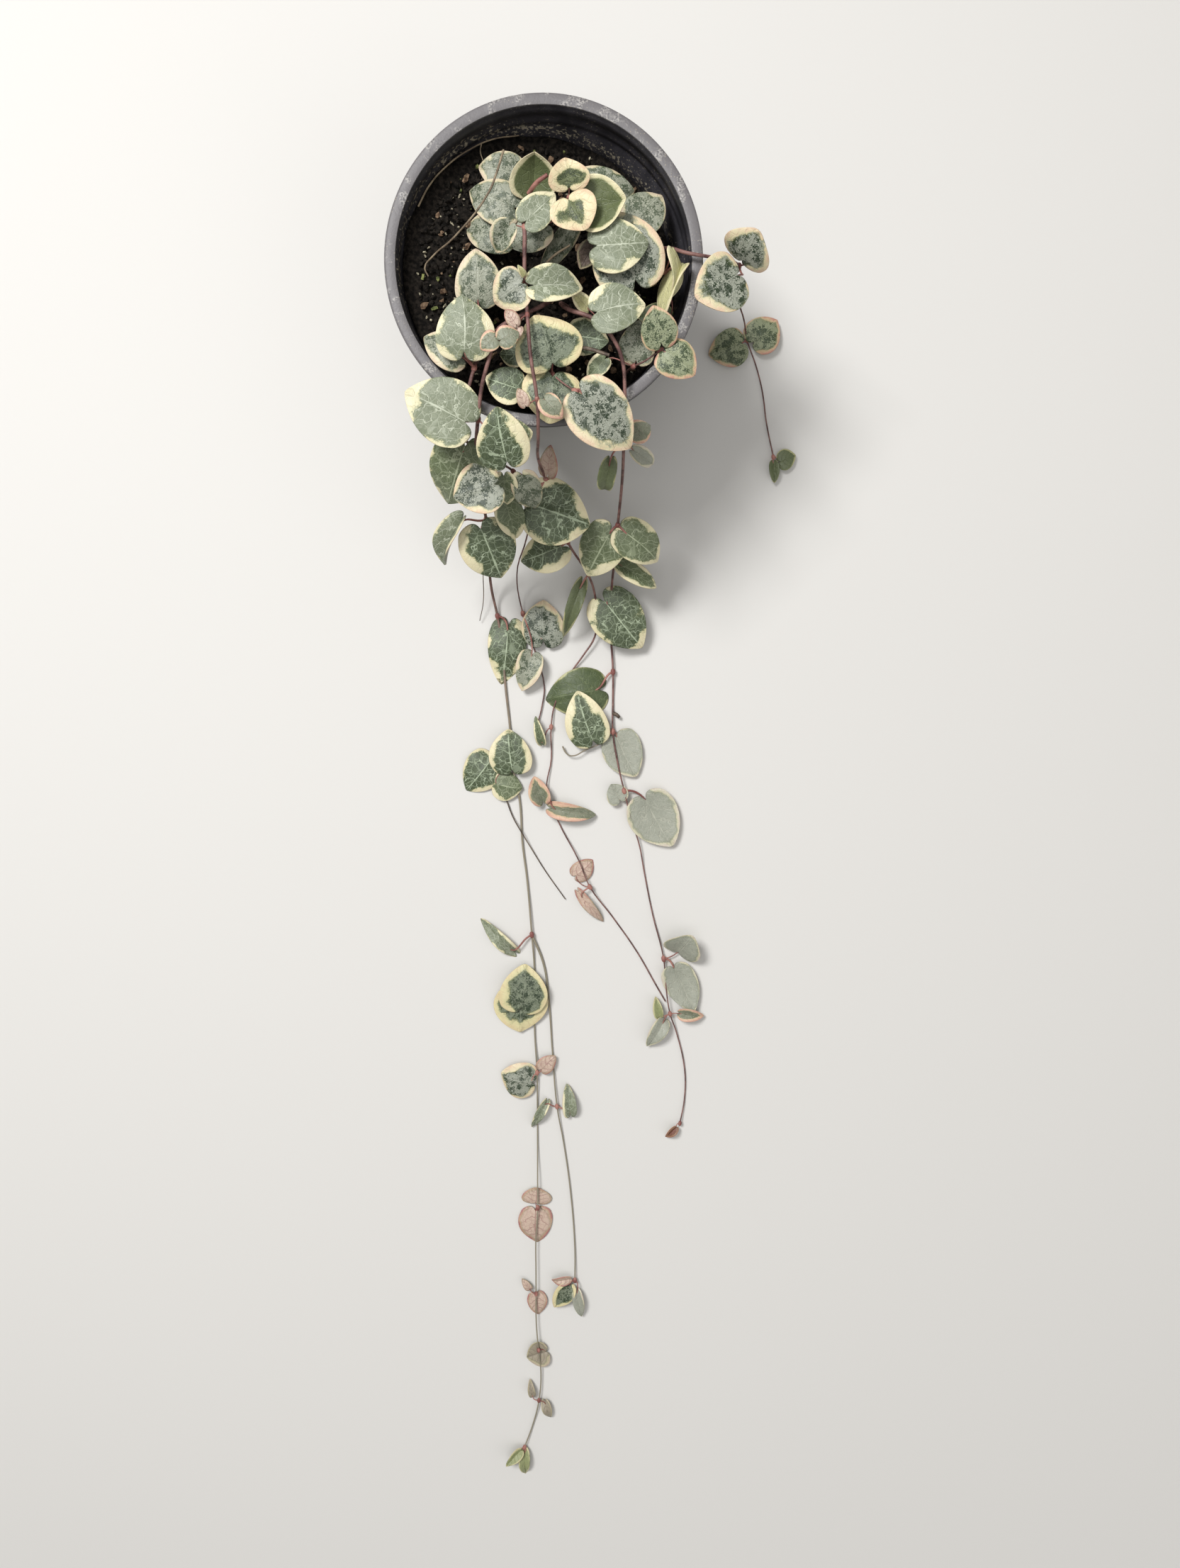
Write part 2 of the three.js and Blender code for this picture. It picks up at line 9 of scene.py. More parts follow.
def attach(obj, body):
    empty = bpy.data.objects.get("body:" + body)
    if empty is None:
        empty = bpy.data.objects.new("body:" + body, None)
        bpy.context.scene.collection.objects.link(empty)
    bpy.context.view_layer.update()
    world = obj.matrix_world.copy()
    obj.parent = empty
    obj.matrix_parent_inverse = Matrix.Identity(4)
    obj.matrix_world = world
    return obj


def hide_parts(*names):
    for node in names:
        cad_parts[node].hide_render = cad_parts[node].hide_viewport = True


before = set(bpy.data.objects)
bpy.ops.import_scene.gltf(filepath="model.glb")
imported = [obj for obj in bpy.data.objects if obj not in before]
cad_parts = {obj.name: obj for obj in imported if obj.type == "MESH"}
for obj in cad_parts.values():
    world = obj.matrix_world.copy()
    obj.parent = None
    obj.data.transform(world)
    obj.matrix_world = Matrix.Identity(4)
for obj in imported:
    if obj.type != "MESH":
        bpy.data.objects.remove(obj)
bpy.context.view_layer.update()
MM = 0.001


# ---------------------------------------------------------------- pot
# A round tapered nursery pot of thin dark polypropylene. It is turned here from one
# profile, with the moulded steps inside its collar, and the drain holes are cut out.
POT_PROFILE = [
    (0, 0), (38.2, 0), (38.8, 0.25), (39, 0.8),
    (51.3, 79.4), (51.8, 79.9), (52.8, 80), (53.1, 80.4),
    (53.4, 89), (53.7, 89.5), (54.6, 89.6), (55, 89.9),
    (55, 91.3), (54.8, 91.8), (54.2, 92), (51.9, 92), (51.2, 91.8), (51, 91.3),
    (50.9, 90.1), (50.5, 89.7), (50.4, 86.3), (50.65, 85.9),
    (50.6, 82.2), (50.2, 81.7), (50.1, 79.5), (50.3, 79.1),
    (49.9, 77.6), (49.3, 77.1), (48.7, 72.4), (48.35, 72),
    (47.8, 67.2), (37.6, 3.2), (37.2, 3), (0, 3),
]
POT_STEPS = 144
WALL_TAPER = 0.158  # how far the inner wall leans out, per millimetre of height
DRAIN_RADIUS = 3.5
DRAIN_CIRCLE = 25
DRAIN_COUNT = 6
SOIL_LINE = 76.5  # height of the tide mark that the soil leaves on the wall, at the middle
SOIL_TILT = 0.2  # rise of the soil towards -X, per millimetre


def colour(text):
    """A colour written as six hexadecimal digits, made linear."""
    parts = [int(text[i:i + 2], 16) / 255 for i in (0, 2, 4)]
    return [c / 12.92 if c <= 0.04045 else ((c + 0.055) / 1.055) ** 2.4 for c in parts] + [1.0]


def finish_piece(name, mesh, materials, replaced=()):
    """Puts a finished mesh in the scene as one smooth piece of the plant or its pot."""
    piece = bpy.data.objects.new(name, mesh)
    bpy.context.scene.collection.objects.link(piece)
    for material in materials:
        mesh.materials.append(material)
    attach(piece, "root")
    if replaced:
        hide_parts(*replaced)
    return piece


class Finish:
    """One material being mixed: shorthand for the shader nodes that every finish uses."""

    def __init__(self, name, roughness, specular=0.5):
        self.material = bpy.data.materials.new(name)
        self.material.use_nodes = True
        self.tree = self.material.node_tree
        self.shader = self.tree.nodes["Principled BSDF"]
        self.shader.inputs["Roughness"].default_value = roughness
        self.shader.inputs["Specular IOR Level"].default_value = specular
        self.place = self.tree.nodes.new("ShaderNodeTexCoord").outputs["Object"]

    def join(self, value, socket):
        if isinstance(value, bpy.types.NodeSocket):
            self.tree.links.new(value, socket)
        else:
            socket.default_value = value

    def sums(self, operation, *values):
        node = self.tree.nodes.new("ShaderNodeMath")
        node.operation = operation
        for value, socket in zip(values, node.inputs):
            self.join(value, socket)
        return node.outputs[0]

    def grain(self, scale, detail=3.0, where=None, distortion=0.0):
        node = self.tree.nodes.new("ShaderNodeTexNoise")
        node.inputs["Scale"].default_value = scale
        node.inputs["Detail"].default_value = detail
        node.inputs["Distortion"].default_value = distortion
        self.join(where or self.place, node.inputs["Vector"])
        return node.outputs["Fac"]

    def stretched(self, x, y, z):
        node = self.tree.nodes.new("ShaderNodeMapping")
        node.inputs["Scale"].default_value = (x, y, z)
        self.join(self.place, node.inputs["Vector"])
        return node.outputs["Vector"]

    def ramp(self, value, low, high):
        """0 below low and 1 above high, with a soft step between. Swap them to turn it round."""
        node = self.tree.nodes.new("ShaderNodeMapRange")
        node.interpolation_type = "SMOOTHSTEP"
        flip = not isinstance(low, bpy.types.NodeSocket) and low > high
        self.join(value, node.inputs["Value"])
        self.join(high if flip else low, node.inputs["From Min"])
        self.join(low if flip else high, node.inputs["From Max"])
        node.inputs["To Min"].default_value = 1.0 if flip else 0.0
        node.inputs["To Max"].default_value = 0.0 if flip else 1.0
        return node.outputs["Result"]

    def blend(self, share, first, second):
        node = self.tree.nodes.new("ShaderNodeMix")
        node.data_type = "RGBA"
        self.join(share, node.inputs[0])
        self.join(first, node.inputs[6])
        self.join(second, node.inputs[7])
        return node.outputs[2]

    def relief(self, height, depth):
        """Bumps of this depth in metres."""
        node = self.tree.nodes.new("ShaderNodeBump")
        node.inputs["Distance"].default_value = depth
        self.join(height, node.inputs["Height"])
        self.join(node.outputs["Normal"], self.shader.inputs["Normal"])

    def paint(self, value):
        self.join(value, self.shader.inputs["Base Color"])
        return self.material


def pot_finish():
    """Dark plastic: dull scuffs all over, pale dust on the lip, lime where water dried."""
    pot = Finish("pot_plastic", 0.5, 0.45)
    apart = pot.tree.nodes.new("ShaderNodeSeparateXYZ")
    pot.join(pot.place, apart.inputs[0])
    height = apart.outputs["Z"]
    scuffs = pot.grain(160, 6, distortion=0.8)
    specks = pot.grain(1500, 2)
    streaks = pot.grain(90, 5, where=pot.stretched(1, 1, 0.15))
    rubbed = pot.sums("ADD", pot.sums("MULTIPLY", scuffs, 0.4), pot.sums("MULTIPLY", streaks, 0.6))
    tone = pot.blend(pot.ramp(rubbed, 0.36, 0.72), colour("29282c"), colour("454348"))
    lip = pot.ramp(height, 0.0912, 0.0918)
    dusty = pot.blend(pot.ramp(specks, 0.35, 0.65), colour("5c5a5b"), colour("a39f9b"))
    dusty = pot.blend(pot.ramp(scuffs, 0.5, 0.62), colour("6c696a"), dusty)
    tone = pot.blend(lip, tone, dusty)
    lime = pot.sums("MULTIPLY", pot.ramp(specks, 0.62, 0.7), pot.ramp(streaks, 0.47, 0.62))
    # Peat and lime stuck to the wall, thickest at the line where the soil meets it.
    level = pot.sums("SUBTRACT", SOIL_LINE * MM, pot.sums("MULTIPLY", apart.outputs["X"], SOIL_TILT))
    above = pot.sums("ABSOLUTE", pot.sums("SUBTRACT", height, level))
    stuck = pot.sums("SUBTRACT", pot.grain(900, 3), pot.sums("MULTIPLY", above, 30))
    out = pot.tree.nodes.new("ShaderNodeVectorMath")
    out.operation = "LENGTH"
    pot.join(pot.stretched(1, 1, 0), out.inputs[0])
    taper = pot.sums("SUBTRACT", out.outputs["Value"], pot.sums("MULTIPLY", height, WALL_TAPER))
    stuck = pot.sums("MULTIPLY", pot.ramp(stuck, 0.5, 0.57), pot.ramp(taper, 0.0384, 0.0379))
    lime = pot.sums("MAXIMUM", lime, stuck)
    tone = pot.blend(pot.sums("MULTIPLY", lime, 0.75), tone, colour("a39a87"))
    pot.relief(pot.sums("ADD", scuffs, pot.sums("MULTIPLY", specks, 0.3)), 0.00025)
    return pot.paint(tone)


shape = bmesh.new()
rows = [shape.verts.new((r * MM, 0, z * MM)) for r, z in POT_PROFILE]
edges = [shape.edges.new(pair) for pair in zip(rows, rows[1:])]
bmesh.ops.spin(
    shape, geom=rows + edges, cent=(0, 0, 0), axis=(0, 0, 1), angle=2 * math.pi,
    steps=POT_STEPS, use_merge=True,
)
bmesh.ops.remove_doubles(shape, verts=shape.verts, dist=1e-6)
bmesh.ops.recalc_face_normals(shape, faces=shape.faces)
pot_mesh = bpy.data.meshes.new("pot")
shape.to_mesh(pot_mesh)
shape.free()

drill = bmesh.new()
for hole in range(DRAIN_COUNT):
    turn = 2 * math.pi * hole / DRAIN_COUNT
    spot = Vector((DRAIN_CIRCLE * math.cos(turn), DRAIN_CIRCLE * math.sin(turn), 0)) * MM
    bmesh.ops.create_cone(
        drill, cap_ends=True, segments=32, radius1=DRAIN_RADIUS * MM,
        radius2=DRAIN_RADIUS * MM, depth=20 * MM, matrix=Matrix.Translation(spot),
    )
drill_mesh = bpy.data.meshes.new("drill")
drill.to_mesh(drill_mesh)
drill.free()
drill_bit = bpy.data.objects.new("drill", drill_mesh)
blank_pot = bpy.data.objects.new("blank_pot", pot_mesh)
bpy.context.scene.collection.objects.link(drill_bit)
bpy.context.scene.collection.objects.link(blank_pot)
cut = blank_pot.modifiers.new("drain_holes", "BOOLEAN")
cut.operation = "DIFFERENCE"
cut.solver = "EXACT"
cut.object = drill_bit
ready = blank_pot.evaluated_get(bpy.context.evaluated_depsgraph_get())
drilled = bpy.data.meshes.new_from_object(ready)
bpy.data.objects.remove(blank_pot)
bpy.data.objects.remove(drill_bit)
drilled.materials.clear()
drilled.shade_smooth()
drilled.set_sharp_from_angle(angle=math.radians(50))
finish_piece("pot", drilled, [pot_finish()], ["pot"])


# ---------------------------------------------------------------- soil
# Dark peaty potting mix, filled to well below the lip. The body is one plug with a
# bumpy top, and loose crumbs, perlite, bark and fine roots lie on it.
SOIL_TOP = 72
SOIL_EDGE = 48.2
SOIL_FOOT = 36.8
SOIL_UNDERSIDE = 3.4
SOIL_RINGS = 22
LITTER_REACH = 45.0
CRUMBS = 2400
crumb_dice = random.Random(11)


def soil_height(x, y):
    """The top of the soil in millimetres, which banks up a little at the wall."""
    bank = 2.2 * max(0.0, math.hypot(x, y) / SOIL_EDGE - 0.8) * 5
    lumps = 1.6 * noise.noise(Vector((x * 0.11, y * 0.11, 3.1)))
    fine = 0.8 * noise.noise(Vector((x * 0.45, y * 0.45, 7.7)))
    bank *= 0.4 + 0.5 * noise.noise(Vector((x * 0.1, y * 0.1, 0)))
    return SOIL_TOP - SOIL_TILT * x + lumps + fine + bank


def soil_finish(name, dark, light, roughness=0.95):
    soil = Finish(name, roughness, 0.15)
    lumps = soil.grain(700, 4)
    fibres = soil.grain(2600, 2)
    tone = soil.blend(soil.ramp(lumps, 0.35, 0.7), colour(dark), colour(light))
    soil.relief(soil.sums("ADD", lumps, soil.sums("MULTIPLY", fibres, 0.5)), 0.0006)
    return soil.paint(tone)


peat = soil_finish("soil_peat", "0e0c0a", "2c2722")
plug = bmesh.new()
bmesh.ops.create_cone(
    plug, cap_ends=False, segments=72, radius1=SOIL_FOOT * MM, radius2=SOIL_EDGE * MM,
    depth=(SOIL_TOP - SOIL_UNDERSIDE) * MM,
    matrix=Matrix.Translation((0, 0, (SOIL_TOP + SOIL_UNDERSIDE) / 2 * MM)),
)
top_rim = [e for e in plug.edges if all(v.co.z > 0.05 for v in e.verts)]
foot_rim = [e for e in plug.edges if all(v.co.z < 0.01 for v in e.verts)]
bmesh.ops.contextual_create(plug, geom=foot_rim)
for ring in range(SOIL_RINGS):
    inner = bmesh.ops.extrude_edge_only(plug, edges=top_rim)["geom"]
    top_rim = [g for g in inner if isinstance(g, bmesh.types.BMEdge)]
    left = SOIL_RINGS - ring
    shrink = (left - 0.5) / (left + 0.5) if left > 1 else 0.3
    for v in {v for e in top_rim for v in e.verts}:
        v.co.x *= shrink
        v.co.y *= shrink
bmesh.ops.contextual_create(plug, geom=top_rim)
for v in plug.verts:
    if v.co.z > 0.05:
        height = soil_height(v.co.x / MM, v.co.y / MM)
        widen = (SOIL_FOOT + WALL_TAPER * height) / (SOIL_FOOT + WALL_TAPER * SOIL_TOP)
        v.co = Vector((v.co.x * widen, v.co.y * widen, height * MM))
bmesh.ops.recalc_face_normals(plug, faces=plug.faces)
soil_mesh = bpy.data.meshes.new("soil")
plug.to_mesh(soil_mesh)
plug.free()
soil_mesh.shade_smooth()
finish_piece("soil", soil_mesh, [peat], ["soil"])


def scatter(name, count, sizes, flatness, look, lift=0.2):
    """Loose bits of one kind on the soil, each a low ball pressed out of round."""
    bits = bmesh.new()
    for _ in range(count):
        out = LITTER_REACH * math.sqrt(crumb_dice.random())
        turn = crumb_dice.uniform(0, 2 * math.pi)
        x, y = out * math.cos(turn), out * math.sin(turn)
        size = crumb_dice.uniform(*sizes)
        long_way = crumb_dice.uniform(0.7, 1.5)
        spin = Euler([crumb_dice.uniform(-0.6, 0.6), crumb_dice.uniform(-0.6, 0.6),
                      crumb_dice.uniform(0, 6.3)]).to_matrix().to_4x4()
        stretch = Matrix.Diagonal((long_way, 1 / long_way, flatness, 1))
        spot = Vector((x, y, soil_height(x, y) + lift * size)) * MM
        grown = bmesh.ops.create_icosphere(
            bits, subdivisions=1, radius=size * MM / 2,
            matrix=Matrix.Translation(spot) @ spin @ stretch,
        )
        for v in grown["verts"]:
            v.co += Vector([crumb_dice.uniform(-0.12, 0.12) for _ in range(3)]) * size * MM
    mesh = bpy.data.meshes.new(name)
    bits.to_mesh(mesh)
    bits.free()
    finish_piece(name, mesh, [look])


scatter("soil_crumbs", CRUMBS, (0.6, 2.6), 0.8, peat)
bark_chip = soil_finish("soil_bark", "4a382b", "86705a", 0.85)
scatter("soil_bark", 150, (0.6, 3.2), 0.35, bark_chip, 0.4)
perlite = soil_finish("soil_perlite", "7f7866", "c2b99f", 0.8)
scatter("soil_perlite", 420, (0.3, 1.3), 0.9, perlite, 0.5)
moss = soil_finish("soil_moss", "4a5230", "8b8f58", 0.9)
scatter("soil_moss", 26, (0.8, 2.2), 0.6, moss, 0.4)


# ---------------------------------------------------------------- leaves and stems
# Each vine is a wiry stem with a pair of fleshy heart-shaped leaves at every swollen
# node. A leaf is one flat blank, cut by its outline, folded, bent and set on its stalk.
LEAF_ACROSS = 16
LEAF_ALONG = 12
WIDEST = 0.22  # where the heart is widest, as a share of its length from the notch
MIDDLE = 0.35  # where it is thickest, as such a share
BORDER_STEPS = 24
FLOOR_CLEARANCE = 0.1  # the lowest that a leaf may lie, in millimetres
THINNEST_STEM = 0.3
leaf_dice = random.Random(5)

# Each colouring: ground, flecks, veins, margin and its blushing edge, then how strong the
# flecks and veins are, how wide the margin is, how far it blushes and how ragged it is.
COLOURINGS = {
    "silver": ("a4a694", "3b4832", "b9bca9", "ddd3b6", "c9a891", 0.9, 0.35, 0.09, 0.5, 1.0),
    "speckled": ("a3a697", "2e3a29", "adb0a2", "dfd4b2", "cda38c", 1.0, 0.4, 0.14, 0.6, 0.8),
    "marbled": ("9aa080", "38452b", "aab092", "d3b291", "b98376", 1.0, 0.3, 0.09, 0.9, 0.6),
    "dark": ("4f5a3e", "353f2c", "aab69a", "dfd7b3", "cdb892", 0.6, 0.95, 0.13, 0.3, 1.2),
    "deep": ("505c3b", "3d4930", "7b865f", "b4b386", "a89a78", 0.5, 0.4, 0.03, 0.2, 0.3),
    "green": ("667052", "4a5439", "aeb697", "e2dab8", "cfbd92", 0.5, 0.8, 0.12, 0.2, 1.1),
    "light": ("828871", "636c53", "bfc4af", "e3dcba", "d1c29a", 0.6, 0.85, 0.1, 0.25, 1.3),
    "reticulated": ("7e8670", "303c29", "959b86", "d6cda0", "cfb08c", 1.0, 0.4, 0.2, 0.4, 0.7),
    "cream": ("6d7450", "39422b", "7a8260", "dccfa8", "d0a78b", 1.0, 0.4, 0.36, 0.6, 0.9),
    "blush": ("8b8f7b", "636a55", "a5a08c", "d8b69b", "c08f80", 0.7, 0.4, 0.24, 0.8, 1.0),
    "pink": ("cdb8a6", "ad9585", "a0736e", "b9877f", "9c6264", 0.5, 0.7, 0.12, 0.9, 0.5),
    "beige": ("a29885", "8f8572", "7b7166", "b3a692", "a18a78", 0.4, 0.4, 0.1, 0.4, 0.5),
    "olive": ("646c4d", "4e573b", "7f8760", "a5a37b", "b3a67d", 0.4, 0.3, 0.06, 0.2, 0.4),
    "cupped": ("5f6743", "4b5435", "7d8560", "dcd4b0", "d3c19a", 0.5, 0.2, 0.14, 0.3, 0.25),
    "grey": ("a3a597", "85887b", "b4b4a4", "d2cdba", "b29c8d", 0.5, 0.6, 0.06, 0.4, 0.6),
    "lime": ("989d72", "7d8459", "b0b488", "c0bd90", "b49d82", 0.4, 0.3, 0.12, 0.3, 0.5),
    "butter": ("cfcb9a", "b5b17d", "dad6ac", "e4dcb4", "d6c39d", 0.5, 0.3, 0.15, 0.3, 0.6),
    "bud": ("7c4f3d", "633f31", "8f604f", "905f4f", "9c6f60", 0.4, 0.3, 0.2, 0.4, 0.4),
    "dried": ("75655a", "574a40", "4c4038", "8f7c6c", "8d7563", 0.7, 0.6, 0.15, 0.4, 0.8),
}
PALE_BACK = ("8d917d", "767d67", "746e61", "cfc3a3", "bd998a", 0.5, 0.5, 0.13, 0.6, 0.8)
DARK_BACK = ("677050", "545c3d", "7d845f", "c8be94", "b99b80", 0.4, 0.3, 0.1, 0.3, 0.8)
GREEN_LEAVES = ("dark", "deep", "green", "olive", "reticulated", "lime")


def leaf_blank():
    """A flat sheet two units square and one thick, with its place across and along as UV."""
    sheet = bmesh.new()
    layer = sheet.loops.layers.uv.new("blade")
    bmesh.ops.create_grid(sheet, x_segments=LEAF_ACROSS, y_segments=LEAF_ALONG, size=1)
    bmesh.ops.solidify(sheet, geom=sheet.faces[:], thickness=1)
    middle = sum(v.co.z for v in sheet.verts) / len(sheet.verts)
    for v in sheet.verts:
        v.co.z = 1 if v.co.z > middle else -1
    bmesh.ops.recalc_face_normals(sheet, faces=sheet.faces)
    for face in sheet.faces:
        for loop in face.loops:
            loop[layer].uv = (loop.vert.co.x / 2 + 0.5, loop.vert.co.y / 2 + 0.5)
    mesh = bpy.data.meshes.new("leaf_blank")
    sheet.to_mesh(mesh)
    sheet.free()
    return mesh


def outline(s, t, length, width, lobes):
    """Where a point of the flat sheet goes on the heart, s across from -1 to 1, t along."""
    out = abs(s)
    back = (1 - t) ** 2.2
    if t < WIDEST:
        half = 1 - 0.13 * (1 - t / WIDEST) ** 2
    else:
        half = max(0.0, 1 - ((t - WIDEST) / (1 - WIDEST)) ** 2.2) ** 0.88
    lobe = lobes * length * math.sin(math.pi * out ** (1 - 0.3 * back)) * back
    across = math.copysign(math.sin(math.pi / 2 * out ** (1 + 0.5 * back)), s)
    return width / 2 * half * across, length * t - lobe


def border(length, width, lobes):
    """Points round the outline, without the notch, where a leaf has no pale margin."""
    points = []
    for i in range(BORDER_STEPS + 1):
        share = i / BORDER_STEPS
        points += [outline(0.5 + 0.5 * share, 0, length, width, lobes),
                   outline(-0.5 - 0.5 * share, 0, length, width, lobes),
                   outline(1, share, length, width, lobes),
                   outline(-1, share, length, width, lobes)]
    return points


def place_of(row):
    """The matrix that carries a flat leaf, lying along +Y from its notch, to its place."""
    x, y, z, heading, pitch, roll = row[:6]
    turn = Matrix.Rotation(math.radians(heading - 90), 4, "Z")
    turn = turn @ Matrix.Rotation(math.radians(pitch), 4, "X")
    return Matrix.Translation((x, y, z)) @ turn @ Matrix.Rotation(math.radians(roll), 4, "Y")


BLANK = leaf_blank()


def add_leaf(cluster, layers, row):
    """Cuts one leaf from the blank and sets it in its place."""
    length, width, fold_degrees, bend_degrees, kind = row[6:]
    place = place_of(row)
    fold = math.radians(fold_degrees)
    spine = length / math.radians(bend_degrees or 0.01)
    half_thick = 0.28 + 0.012 * length
    sway = leaf_dice.uniform(-0.035, 0.035) * width
    cup = leaf_dice.uniform(-0.1, -0.02) * width
    lobes = leaf_dice.uniform(0.15, 0.24)
    ripple = [leaf_dice.uniform(0, 6.3), leaf_dice.uniform(0.008, 0.022) * width]
    tip_drop = leaf_dice.uniform(-0.02, 0.06) * length
    lean = leaf_dice.uniform(-0.06, 0.06) * width
    start = len(cluster.verts)
    cluster.from_mesh(BLANK)
    cluster.verts.ensure_lookup_table()
    own = cluster.verts[start:]
    edge = border(length, width, lobes)
    looks = [COLOURINGS[kind], DARK_BACK if kind in GREEN_LEAVES else PALE_BACK]
    if row[5] == 180:
        looks.reverse()  # this leaf shows its underside
    for v in own:
        s, t, side = v.co.x, (v.co.y + 1) / 2, v.co.z
        t = 1 - (1 - t) ** 1.25
        flat_x, run = outline(s, t, length, width, lobes)
        rim = min(math.hypot(flat_x - a, run - b) for a, b in edge) / (width / 2)
        swell = math.sqrt(min(1.0, 0.1 + rim / 0.3))
        thick = side * half_thick * min(1.0, swell)
        radius = math.hypot(flat_x, run - MIDDLE * length) / (width / 2)
        around = math.atan2(flat_x, run - MIDDLE * length)
        wave = cup * radius ** 2 + ripple[1] * math.sin(3 * around + ripple[0]) * radius ** 3
        near_midrib = 1 - min(1.0, abs(flat_x) / (0.12 * width))
        wave -= tip_drop * t ** 4 - 0.035 * width * near_midrib ** 2
        half = flat_x + lean * t ** 2 + sway * math.sin(math.pi * t)
        sign = (half > 0) - (half < 0)
        x = half * math.cos(fold) - sign * thick * math.sin(fold)
        rise = abs(half) * math.sin(fold) + thick * math.cos(fold) + wave
        y = (spine - rise) * math.sin(run / spine)
        v.co = place @ Vector((x, y, spine - (spine - rise) * math.cos(run / spine))) * MM
        v.co.z = max(v.co.z, FLOOR_CLEARANCE * MM)
        look = looks[0] if side > 0 else looks[1]
        for name, text in zip(("ground", "fleck", "vein", "margin", "blush"), look):
            v[layers[name]] = colour(text)
        v[layers["rim"]] = rim
        v[layers["fleck_share"]] = look[5]
        v[layers["vein_share"]] = look[6]
        v[layers["margin_width"]] = look[7]
        v[layers["blush_share"]] = look[8]
        v[layers["raggedness"]] = look[9]


def leaf_finish():
    """A waxy leaf: flecked ground, pale veins, a ragged cream margin that blushes at its edge."""
    leaf = Finish("leaf", 0.42, 0.42)

    def own(name, output="Fac"):
        node = leaf.tree.nodes.new("ShaderNodeAttribute")
        node.attribute_name = name
        return node.outputs[output]

    blade = leaf.tree.nodes.new("ShaderNodeUVMap")
    blade.uv_map = "blade"
    apart = leaf.tree.nodes.new("ShaderNodeSeparateXYZ")
    leaf.join(blade.outputs["UV"], apart.inputs[0])
    clouds = leaf.grain(330, 3)
    mottle = leaf.grain(1700, 3, distortion=1.2)
    fine = leaf.grain(5200, 2)
    patches = leaf.grain(95, 1)

    # Flecks gather in clouds.
    field = leaf.sums("MULTIPLY", clouds, 0.65)
    field = leaf.sums("ADD", leaf.sums("MULTIPLY", mottle, 0.6), field)
    flecks = leaf.sums("MULTIPLY", leaf.ramp(field, 0.61, 0.645), own("fleck_share"))
    shade = leaf.sums("MULTIPLY", leaf.ramp(clouds, 0.62, 0.36), 0.3)
    ground = leaf.blend(shade, own("ground", "Color"), own("fleck", "Color"))
    frost = leaf.sums("MULTIPLY", leaf.ramp(fine, 0.52, 0.64), 0.35)
    ground = leaf.blend(frost, ground, own("vein", "Color"))
    centre = leaf.blend(flecks, ground, own("fleck", "Color"))

    # The midrib, and side veins that leave it and sweep towards the tip.
    across = leaf.sums("ABSOLUTE", leaf.sums("SUBTRACT", apart.outputs["X"], 0.5))
    wander = leaf.sums("MULTIPLY", leaf.sums("SUBTRACT", clouds, 0.5), 1.5)
    midrib = leaf.ramp(leaf.sums("ADD", across, leaf.sums("MULTIPLY", wander, 0.03)), 0.02, 0.006)
    sweep = leaf.sums("SUBTRACT", apart.outputs["Y"], leaf.sums("MULTIPLY", across, 0.75))
    steps = leaf.sums("FRACT", leaf.sums("ADD", leaf.sums("MULTIPLY", sweep, 4.6), wander))
    from_vein = leaf.sums("ABSOLUTE", leaf.sums("SUBTRACT", steps, 0.5))
    side_veins = leaf.sums("MULTIPLY", leaf.ramp(from_vein, 0.08, 0.02), leaf.ramp(across, 0.46, 0.2))
    net = leaf.tree.nodes.new("ShaderNodeTexVoronoi")
    net.feature = "DISTANCE_TO_EDGE"
    net.inputs["Scale"].default_value = 360
    leaf.join(leaf.place, net.inputs["Vector"])
    mesh_veins = leaf.sums("MULTIPLY", leaf.ramp(net.outputs["Distance"], 0.07, 0.015), 0.38)
    veins = leaf.sums("MAXIMUM", leaf.sums("MULTIPLY", side_veins, 0.9), mesh_veins)
    veins = leaf.sums("MAXIMUM", veins, midrib)
    veins = leaf.sums("MULTIPLY", veins, leaf.ramp(mottle, 0.2, 0.42))
    veined = leaf.sums("MULTIPLY", veins, own("vein_share"))
    centre = leaf.blend(veined, centre, own("vein", "Color"))

    # The margin: its inner edge is ragged, and its outer edge blushes.
    ragged = leaf.sums("ADD", leaf.sums("MULTIPLY", clouds, 0.35), leaf.sums("MULTIPLY", mottle, 0.22))
    ragged = leaf.sums("ADD", ragged, leaf.sums("MULTIPLY", patches, 1.1))
    ragged = leaf.sums("MULTIPLY", leaf.sums("SUBTRACT", ragged, 0.835), own("raggedness"))
    reach = leaf.sums("SUBTRACT", own("rim"), ragged)
    reach = leaf.sums("SUBTRACT", reach, own("margin_width"))
    margin = leaf.ramp(reach, 0.04, -0.03)
    seam = leaf.sums("MULTIPLY", leaf.ramp(reach, 0.14, 0.0), 0.3)
    centre = leaf.blend(seam, centre, colour("646e3f"))
    blush = leaf.sums("MULTIPLY", leaf.ramp(own("rim"), 0.26, 0.0), leaf.ramp(clouds, 0.3, 0.62))
    blush = leaf.sums("MULTIPLY", blush, own("blush_share"))
    edge = leaf.blend(blush, own("margin", "Color"), own("blush", "Color"))
    green_tinge = leaf.sums("MULTIPLY", leaf.ramp(reach, -0.14, 0.0), 0.45)
    edge = leaf.blend(green_tinge, edge, colour("b4b585"))
    rosy = leaf.sums("MULTIPLY", leaf.ramp(mottle, 0.5, 0.66), 0.22)
    edge = leaf.blend(rosy, edge, own("blush", "Color"))
    tone = leaf.blend(margin, centre, edge)
    height = leaf.sums("SUBTRACT", leaf.sums("MULTIPLY", fine, 0.25), leaf.sums("MULTIPLY", veins, 0.6))
    leaf.relief(leaf.sums("ADD", height, leaf.sums("MULTIPLY", clouds, 0.4)), 0.00022)
    return leaf.paint(tone)


